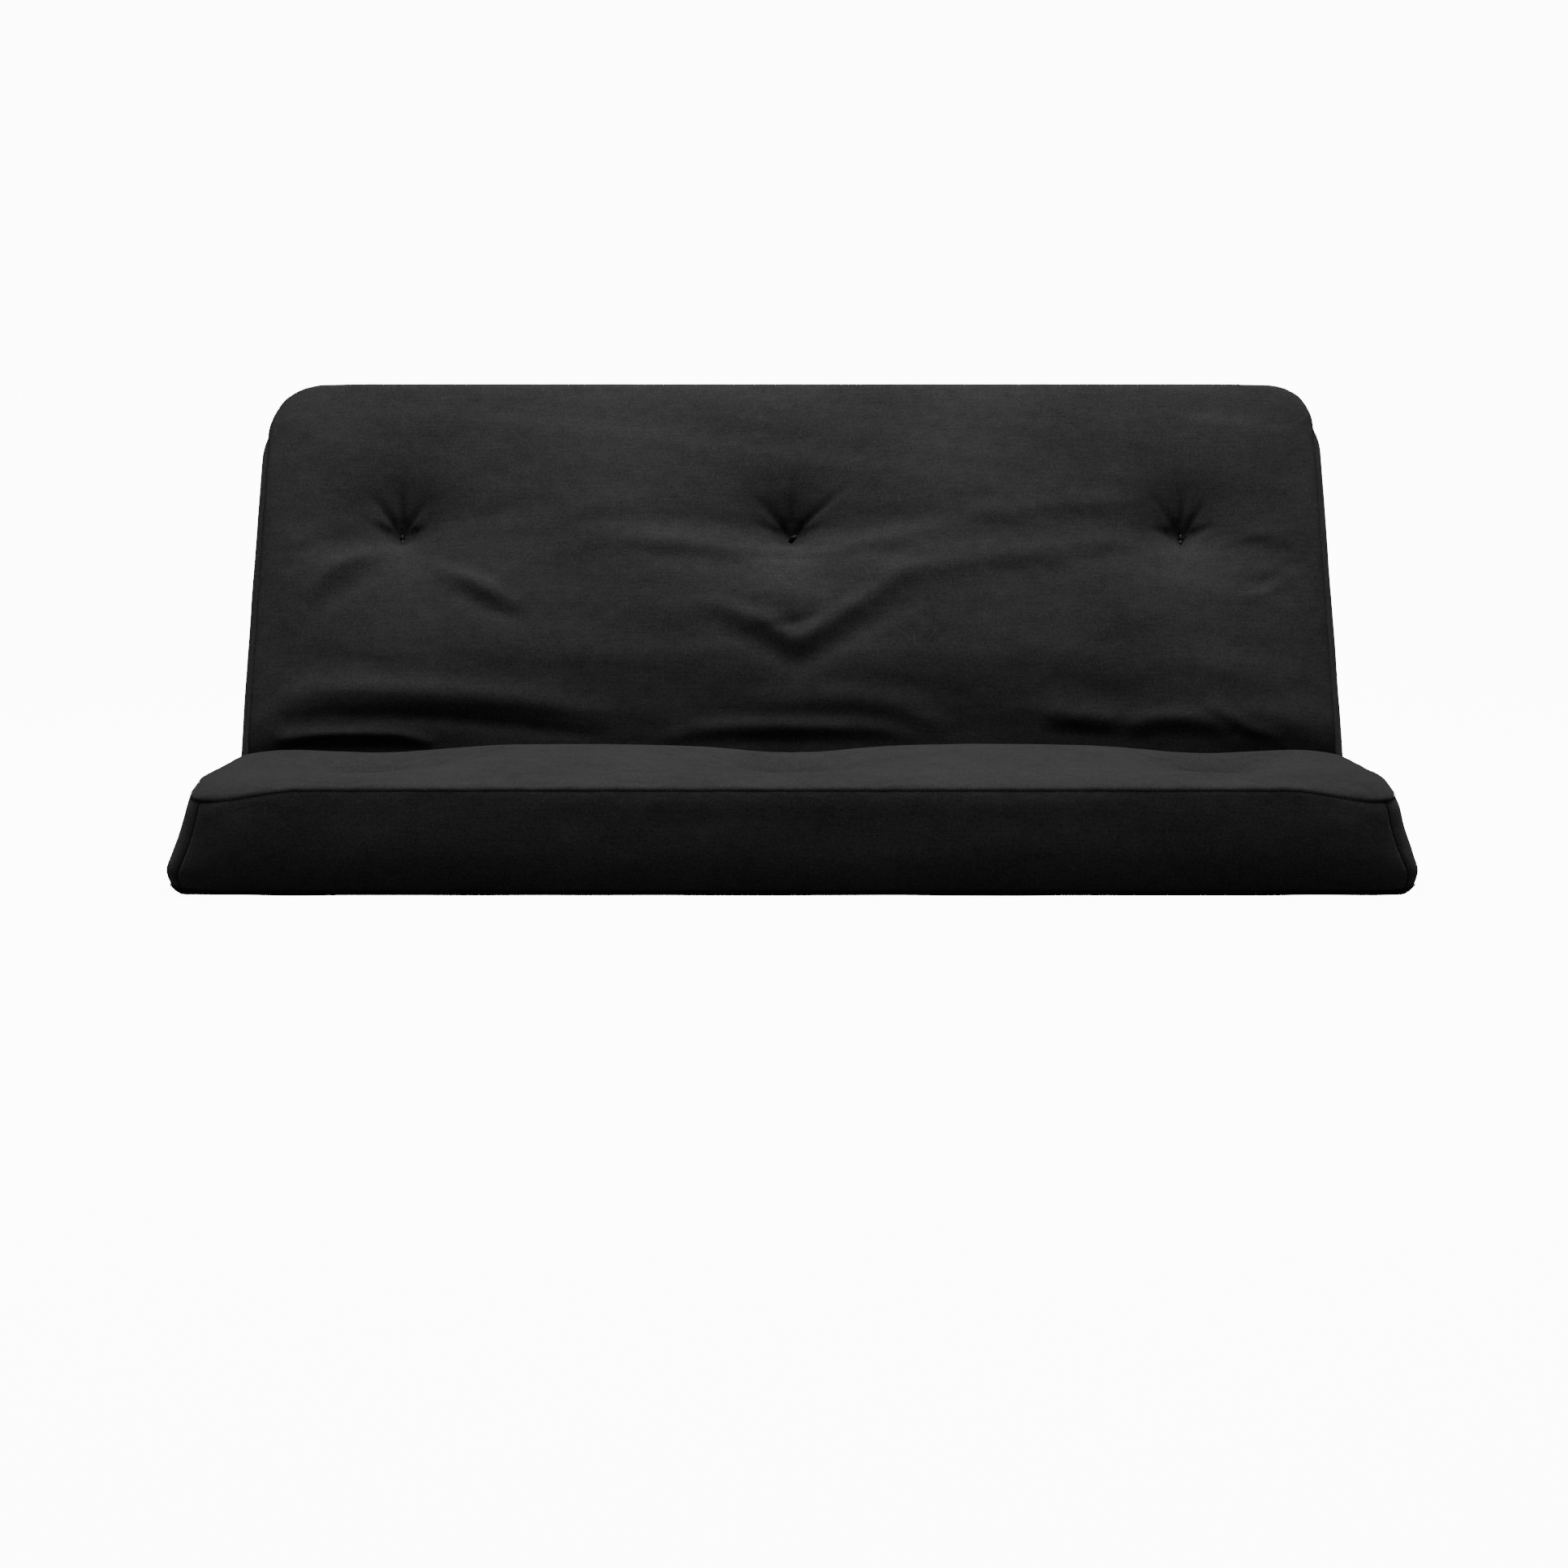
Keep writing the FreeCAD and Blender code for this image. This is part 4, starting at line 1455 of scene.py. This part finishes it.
def tube(path: Array, radius: float | Array, sides: int, closed: bool = False) -> MeshData:
    """Points and quads of a round tube along a path.

    Args:
        path: Centre line.
        radius: Radius, or one for each point of the path.
        sides: Corners round the tube.
        closed: True if the path joins up; otherwise the tube's ends are drawn to a point.

    Returns:
        Vertex places and quads.
    """
    count = len(path)
    if closed:
        tangent = np.roll(path, -1, axis=0) - np.roll(path, 1, axis=0)
    else:
        tangent = np.gradient(path, axis=0)
    tangent = unit(tangent)
    normal = unit(np.cross(tangent[0], [0.31, 0.87, 0.38]))
    rings = []
    radii = np.broadcast_to(radius, (count,)).copy()
    if not closed:
        radii[[0, -1]] *= 0.15
    angle = 2 * np.pi * np.arange(sides)[:, None] / sides
    for k in range(count):
        normal = unit(normal - tangent[k] * (normal @ tangent[k]))
        binormal = np.cross(tangent[k], normal)
        rings.append(path[k] + radii[k] * (np.cos(angle) * normal + np.sin(angle) * binormal))
    points = np.concatenate(rings)
    ring, corner = np.meshgrid(np.arange(count if closed else count - 1), np.arange(sides), indexing="ij")
    this, after = ring * sides, (ring + 1) % count * sides
    side = (corner + 1) % sides
    quads = np.stack([this + corner, this + side, after + side, after + corner], axis=-1)
    return points, quads.reshape(-1, 4)


def joined(parts: list[tuple[Array, Array]]) -> tuple[Array, Array]:
    """Puts several meshes into one set of points and quads."""
    offsets = np.cumsum([0] + [len(points) for points, _ in parts[:-1]])
    faces = [faces + offset for (_, faces), offset in zip(parts, offsets)]
    return np.concatenate([points for points, _ in parts]), np.concatenate(faces)


@dataclass(frozen=True)
class Toggle:
    """A moulded bar with rounded ends, a raised ring at each end and a waist that the twine sits in."""

    length: float = 0.022
    radius: float = 0.003
    waist: float = 0.0024
    rings: ClassVar[tuple[tuple[float, float], ...]] = (
        (-0.0066, 0.0030),
        (-0.0062, 0.0027),
        (-0.0050, 0.0027),
        (-0.0046, 0.0030),
        (-0.0030, 0.0029),
    )

    def mesh(self, sides: int = 20) -> tuple[Array, Array]:
        """Points and quads of the bar, along Y."""
        half = self.length / 2
        end = self.radius
        angles = np.linspace(0, math.pi / 2, 6)
        places, radii = np.array([*self.rings, (-0.0018, self.waist + 0.0001), (0.0, self.waist)]).T
        along = np.concatenate([-half + end * (1 - np.cos(angles)), places])
        thick = np.concatenate([end * np.sin(angles) + 1e-5, radii])
        along = np.concatenate([along, -along[-2::-1]])
        thick = np.concatenate([thick, thick[-2::-1]])
        path = np.stack([np.zeros_like(along), along, np.zeros_like(along)], axis=1)
        return tube(path, thick, sides)


@dataclass(frozen=True)
class Twine:
    """Two strands laid together, tied round a toggle at each end."""

    strand: float = 0.00068
    lay: float = 0.0075
    sides: int = 7
    tie_half_width: float = 0.0012
    knot_size: float = 0.00085
    knot_rise: float = 0.0012
    tail_length: float = 0.0075
    tail_spread: float = 0.0035
    tail_drop: float = 0.0022

    def mesh(self, low: float, high: float) -> tuple[Array, Array]:
        """Points and quads of one tuft's twine between its two toggles, along Z."""
        count = max(24, int((high - low) / self.lay * 10))
        z = np.linspace(low, high, count)
        parts = []
        for phase in (0.0, math.pi):
            turn = 2 * np.pi * z / self.lay + phase
            path = np.stack([self.strand * np.cos(turn), self.strand * np.sin(turn), z], axis=1)
            parts.append(tube(path, self.strand, self.sides))
        for centre, up in ((high, 1.0), (low, -1.0)):
            parts.extend(self._tie(centre, up))
        return joined(parts)

    def _tie(self, toggle: float, up: float) -> list[tuple[Array, Array]]:
        """Two turns round the toggle's waist, a knot on its outer side and two cut tails."""
        parts = []
        angle = np.linspace(0, 4 * np.pi, 60)
        radius = Toggle().waist + self.strand
        slide = np.linspace(-self.tie_half_width, self.tie_half_width, 60)
        coil = np.stack([radius * np.sin(angle), slide, toggle - up * radius * np.cos(angle)], axis=1)
        parts.append(tube(coil, self.strand, self.sides))
        t = np.linspace(0, 2 * np.pi, 72, endpoint=False)
        loop = [np.sin(t) + 2 * np.sin(2 * t), np.cos(t) - 2 * np.cos(2 * t), -np.sin(3 * t) * up]
        knot = self.knot_size * np.stack(loop, axis=1)
        knot[:, 2] += toggle + up * (radius + self.knot_rise)
        parts.append(tube(knot, self.strand * 0.95, self.sides, True))
        run = np.linspace(0, 1, 12)
        level = toggle + up * (radius + self.knot_rise - self.tail_drop * run**2)
        for side in (-1.0, 1.0):
            away = side * (0.001 + self.tail_length * run)
            tail = np.stack([away, side * self.tail_spread * run**2, level], axis=1)
            parts.append(tube(tail, self.strand, self.sides))
        return parts


@dataclass(frozen=True)
class TuftWork:
    """Every toggle and every length of twine."""

    fold: FoldLine
    tufts: list[Tuft]
    under_seat: float = 0.0127
    toggle_rise: float = 0.0033
    pieces: ClassVar[dict[Half, tuple[str, str]]] = {
        Half.SEAT: ("seat_top_toggles", "seat_bottom_toggles"),
        Half.BACK: ("back_front_toggles", "back_rear_toggles"),
    }

    def _frame(self, tuft: Tuft, height: float) -> tuple[Vector, Matrix]:
        """Place of a point on a tuft's line, and the turn from section axes to the row frame."""
        back = np.array(tuft.half is Half.BACK)
        place = self.fold.place(back, np.array(tuft.x), np.array(tuft.a), np.array(height))
        lean = self.fold.angle if back else 0.0
        return Vector(place), Matrix.Rotation(lean, 3, "X")

    def build(self, twine: Material, bar: Material) -> dict[str, Object]:
        """Makes each half's toggles and twine, one piece for each CAD node that they stand for."""
        made = {}
        for half, (upper, lower) in self.pieces.items():
            tufts = [tuft for tuft in self.tufts if tuft.half is half]
            high = tufts[0].seat + self.toggle_rise
            for name, level, spread in ((upper, high, 1.0), (lower, self.under_seat, 0.0)):
                source = mesh_object("toggle_bar", *Toggle().mesh())
                places, turns = zip(*(self._frame(tuft, level) for tuft in tufts))
                own = [Matrix.Rotation(spread * tuft.toggle_turn, 3, "Z") for tuft in tufts]
                turns = [turn @ twist for turn, twist in zip(turns, own)]
                made[name] = Repeater(name + "_bars", uneven=0.0).set_out(source, places, turns, bar)
            source = mesh_object("tuft_twine", *Twine().mesh(self.under_seat, high))
            places, turns = zip(*(self._frame(tuft, 0.0) for tuft in tufts))
            name = half.value + "_tuft_cords"
            made[name] = Repeater(name + "_twine", uneven=0.0).set_out(source, places, turns, twine)
        return made


@dataclass(frozen=True)
class Seams:
    """The stitches along both long seams and up the four corners."""

    cover: Cover
    pitch: float = 0.0042
    thread: float = 0.00033
    reach: float = 0.0022

    def stitch(self) -> Object:
        """One stitch: a short length of thread across the seam, bowed outwards."""
        run = np.linspace(-1, 1, 5)
        path = np.stack([np.zeros(5), self.reach * run, 0.0007 * (1 - run**2) - 0.0002], axis=1)
        return mesh_object("stitch", *tube(path, self.thread, 4))

    def build(self, finish: Material) -> Object:
        """Sets the stitches along every seam."""
        places, turns = [], []
        for line, outward in self.cover.seam_lines():
            length = np.concatenate([[0.0], np.cumsum(np.linalg.norm(np.diff(line, axis=0), axis=1))])
            wanted = np.arange(self.pitch / 2, length[-1], self.pitch)
            point = np.stack([np.interp(wanted, length, line[:, k]) for k in range(3)], axis=1)
            out = np.stack([np.interp(wanted, length, outward[:, k]) for k in range(3)], axis=1)
            along = np.gradient(point, axis=0)
            for p, o, t in zip(point, out, along):
                tangent = Vector(t).normalized()
                normal = Vector(o - np.array(tangent) * (o @ np.array(tangent))).normalized()
                side = normal.cross(tangent)
                places.append(p + np.array(normal) * 0.0006)
                turns.append(Matrix((tangent, side, normal)).transposed())
        repeater = Repeater("seam_stitches", seed=11, uneven=0.08)
        return repeater.set_out(self.stitch(), places, turns, finish)


@dataclass(frozen=True)
class Label:
    """A blank woven label, sewn flat to the top border beside the rear seam."""

    cover: Cover
    start: float = 0.560
    width: float = 0.090
    height: float = 0.055
    thickness: float = 0.0005
    seam_gap: float = 0.060

    def build(self, finish: Material) -> Object:
        """Makes the label on the border's surface, with its long edge beside the seam."""
        shape = self.cover.shape
        columns, rows = 46, 28
        u = np.linspace(self.start, self.start + self.width, columns) / shape.half_length
        v = np.linspace(self.seam_gap, self.seam_gap + self.height / shape.border_height, rows)
        s = np.full_like(u, shape.back_height)
        base = self.cover.border_surface(u, s, v)
        places = np.linspace(0, self.width, columns), np.linspace(0, self.height, rows)
        across, up = np.meshgrid(*places, indexing="ij")
        rim = np.minimum(np.minimum(across, self.width - across), np.minimum(up, self.height - up))
        slack = 0.8 + 0.3 * Unevenness(51, 0.03, 0.02).at(across, up)
        lift = 0.0014 + 0.0007 * smoothstep(0.0, 0.012, rim) * slack
        normals = -grid_normals(base)
        outer = base + normals * (lift + self.thickness)[..., None]
        inner = base + normals * lift[..., None]
        count = columns * rows
        edge = edge_numbers(columns, rows)
        after = np.roll(edge, -1)
        wall = np.stack([edge + count, after + count, after, edge], axis=1)
        sides = [grid_faces(columns, rows, True), grid_faces(columns, rows, False, count), wall[:, ::-1]]
        uv = np.stack([across.ravel(), up.ravel()], axis=1)
        points = np.concatenate([outer.reshape(-1, 3), inner.reshape(-1, 3)])
        label = mesh_object("sewn_label_tape", points, np.concatenate(sides), np.concatenate([uv, uv]))
        label.data.materials.append(finish)
        return label


# ---------------------------------------------------------------- studio


@dataclass(frozen=True)
class Studio:
    """Pale floor, soft light from above, in front and behind, and the camera."""

    eye: tuple[float, float, float] = (-0.013, -4.4925, 0.629)
    pitch: float = 6.5
    focal: float = 62.53

    def build(self) -> None:
        """Makes the floor, the lights and the camera."""
        self._floor()
        self._lights()
        self._world()
        data = bpy.data.cameras.new("camera")
        data.lens = self.focal
        data.sensor_width = 36.0
        data.sensor_fit = "HORIZONTAL"
        data.clip_end = 200.0
        camera = linked(bpy.data.objects.new("camera", data))
        camera.location = self.eye
        camera.rotation_euler = (math.radians(90.0 - self.pitch), 0.0, 0.0)
        bpy.context.scene.camera = camera

    def _floor(self) -> None:
        """Studio paper that sweeps up from the floor behind the mattress."""
        turn = np.linspace(0, math.pi / 2, 25)
        y = np.concatenate([[-40.0, -6.0, 0.0], 4.0 + 3.0 * np.sin(turn), [7.0]])
        z = np.concatenate([[0.0, 0.0, 0.0], 3.0 - 3.0 * np.cos(turn), [12.0]])
        x = np.array([-40.0, 0.0, 40.0])
        gx, row = np.meshgrid(x, np.arange(len(y)), indexing="ij")
        points = np.stack([gx, y[row], z[row]], axis=-1).reshape(-1, 3)
        floor = mesh_object("studio_paper_sweep", points, grid_faces(len(x), len(y)))
        floor.data.materials.append(StudioPaper().build())
        floor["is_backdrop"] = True

    def _lights(self) -> None:
        """Soft boxes over the mattress, in front of it and over the paper behind it."""
        boxes = [
            ("overhead_soft_box", (0.0, -0.2, 3.4), (2.2, 2.6), 205.0, (0.0, 0.0, 0.3)),
            ("front_soft_box", (0.0, -5.2, 3.2), (4.0, 1.6), 10.0, (0.0, 0.0, 0.35)),
            ("rear_soft_box", (0.0, 3.4, 2.7), (3.2, 1.0), 14.0, (0.0, 0.3, 0.3)),
            ("paper_soft_box", (0.0, 2.6, 5.5), (7.0, 1.6), 150.0, (0.0, 6.6, 1.0)),
        ]
        for name, place, size, power, aim in boxes:
            data = bpy.data.lights.new(name, "AREA")
            data.shape = "RECTANGLE"
            data.size, data.size_y = size
            data.energy = power
            lamp = linked(bpy.data.objects.new(name, data))
            lamp.location = place
            lamp.visible_camera = False
            lamp.rotation_euler = (Vector(aim) - Vector(place)).to_track_quat("-Z", "Y").to_euler()

    def _world(self) -> None:
        """An even white surround, dim to the mattress and bright to the camera."""
        world = bpy.data.worlds.new("studio_surround")
        world.use_nodes = True
        tree = world.node_tree
        back = tree.nodes["Background"]
        back.inputs["Color"].default_value = (1.0, 1.0, 1.0, 1.0)
        camera = tree.nodes.new("ShaderNodeLightPath").outputs["Is Camera Ray"]
        level = tree.nodes.new("ShaderNodeMapRange")
        level.inputs["To Min"].default_value = 0.10
        level.inputs["To Max"].default_value = 12.0
        tree.links.new(camera, level.inputs["Value"])
        tree.links.new(level.outputs["Result"], back.inputs["Strength"])
        bpy.context.scene.world = world


@dataclass
class Mattress:
    """The whole mattress: it builds each sub-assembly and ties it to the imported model."""

    fold: FoldLine
    shape: BagShape
    tufts: list[Tuft]
    blend_reach: float = 0.120
    puff: ClassVar[float] = 0.0145
    slanted: ClassVar[float] = math.radians(-60.0)

    @classmethod
    def from_frame(cls, frame: dict) -> Mattress:
        """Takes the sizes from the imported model."""
        fold = FoldLine.from_joint(frame["joints"][0])
        low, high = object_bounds()
        shape = BagShape(fold, float(high[0]), fold.y - float(low[1]), 0.0)
        rise = high[2] - fold.z - (shape.border_height - fold.z) * math.cos(fold.angle)
        shape.back_height = float(rise / math.sin(fold.angle)) + shape.face_profile[-1] + cls.puff
        tufts = []
        for half, node in ((Half.SEAT, "seat_top_toggles"), (Half.BACK, "back_front_toggles")):
            corner, other = (np.array(c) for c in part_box(node))
            reach = (other[0] - corner[0]) / 2 - Toggle().radius
            middle = (corner + other) / 2
            across = fold.y - middle[1]
            if half is Half.BACK:
                rise, run = middle[2] - fold.z, middle[1] - fold.y
                across = rise * math.sin(fold.angle) + run * math.cos(fold.angle)
            turns = (0.04, cls.slanted, -0.03) if half is Half.BACK else (0.15, -0.10, 0.05)
            for column, turn in zip((-1, 0, 1), turns):
                tufts.append(Tuft(half, column * reach, float(across), toggle_turn=turn))
        return cls(fold, shape, tufts)

    def build(self) -> None:
        """Builds every sub-assembly and ties its pieces to their bodies and CAD nodes."""
        cloth, fibre, foam = BlackCloth().build(), FibrePad().build(), OpenFoam().build()
        twine, bar = WaxedTwine().build(), MouldedBar().build()
        cover = Cover(self.shape, self.tufts, cloth)
        run = ClothRun(self.shape, self.tufts).run()
        panels = cover.build(run)
        swaps = {
            "top_panel": ("seat_top_panel", "back_front_panel"),
            "underside_panel": ("seat_bottom_panel", "back_rear_panel", "fold_underside_panel"),
            "front_border": ("front_border",),
            "top_border": ("top_border",),
            "left_border": ("seat_left_border", "back_left_border"),
            "right_border": ("seat_right_border", "back_right_border"),
        }
        bodies = {"front_border": "seat", "top_border": "back"}
        for name, nodes in swaps.items():
            self._tie(panels[name], bodies.get(name), "cover_cloth", nodes)
        for layer, pad in Filling(cover).build({"batting": fibre, "foam": foam}):
            self._tie(pad, None, layer.slot, layer.nodes)
        for node, piece in TuftWork(self.fold, self.tufts).build(twine, bar).items():
            self._tie(piece, node.split("_")[0], "twine" if node.endswith("cords") else "toggle", (node,))
        self._tie(Seams(cover).build(twine), None, "twine", ())
        label = Label(cover).build(LabelTape().build())
        self._tie(label, "back", "label_cloth", ("sewn_label",))

    def _tie(self, piece: Object, body: str | None, slot: str, nodes: tuple[str, ...]) -> None:
        """Ties a piece to a body, or bakes it into the row frame where body is None, and hides the CAD nodes
        that it stands for.
        """
        if body:
            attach(piece, body)
        else:
            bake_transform(piece)
        if nodes:
            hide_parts(*nodes)
        LOG.info("%s: %d faces, moves with %s", piece.name, len(piece.data.polygons), body or "both halves")


def main() -> None:
    """Loads the frame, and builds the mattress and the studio."""
    logging.basicConfig(level=logging.INFO, format="%(message)s")
    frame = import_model()
    Mattress.from_frame(frame).build()
    Studio().build()


if __name__ == "__main__":
    main()
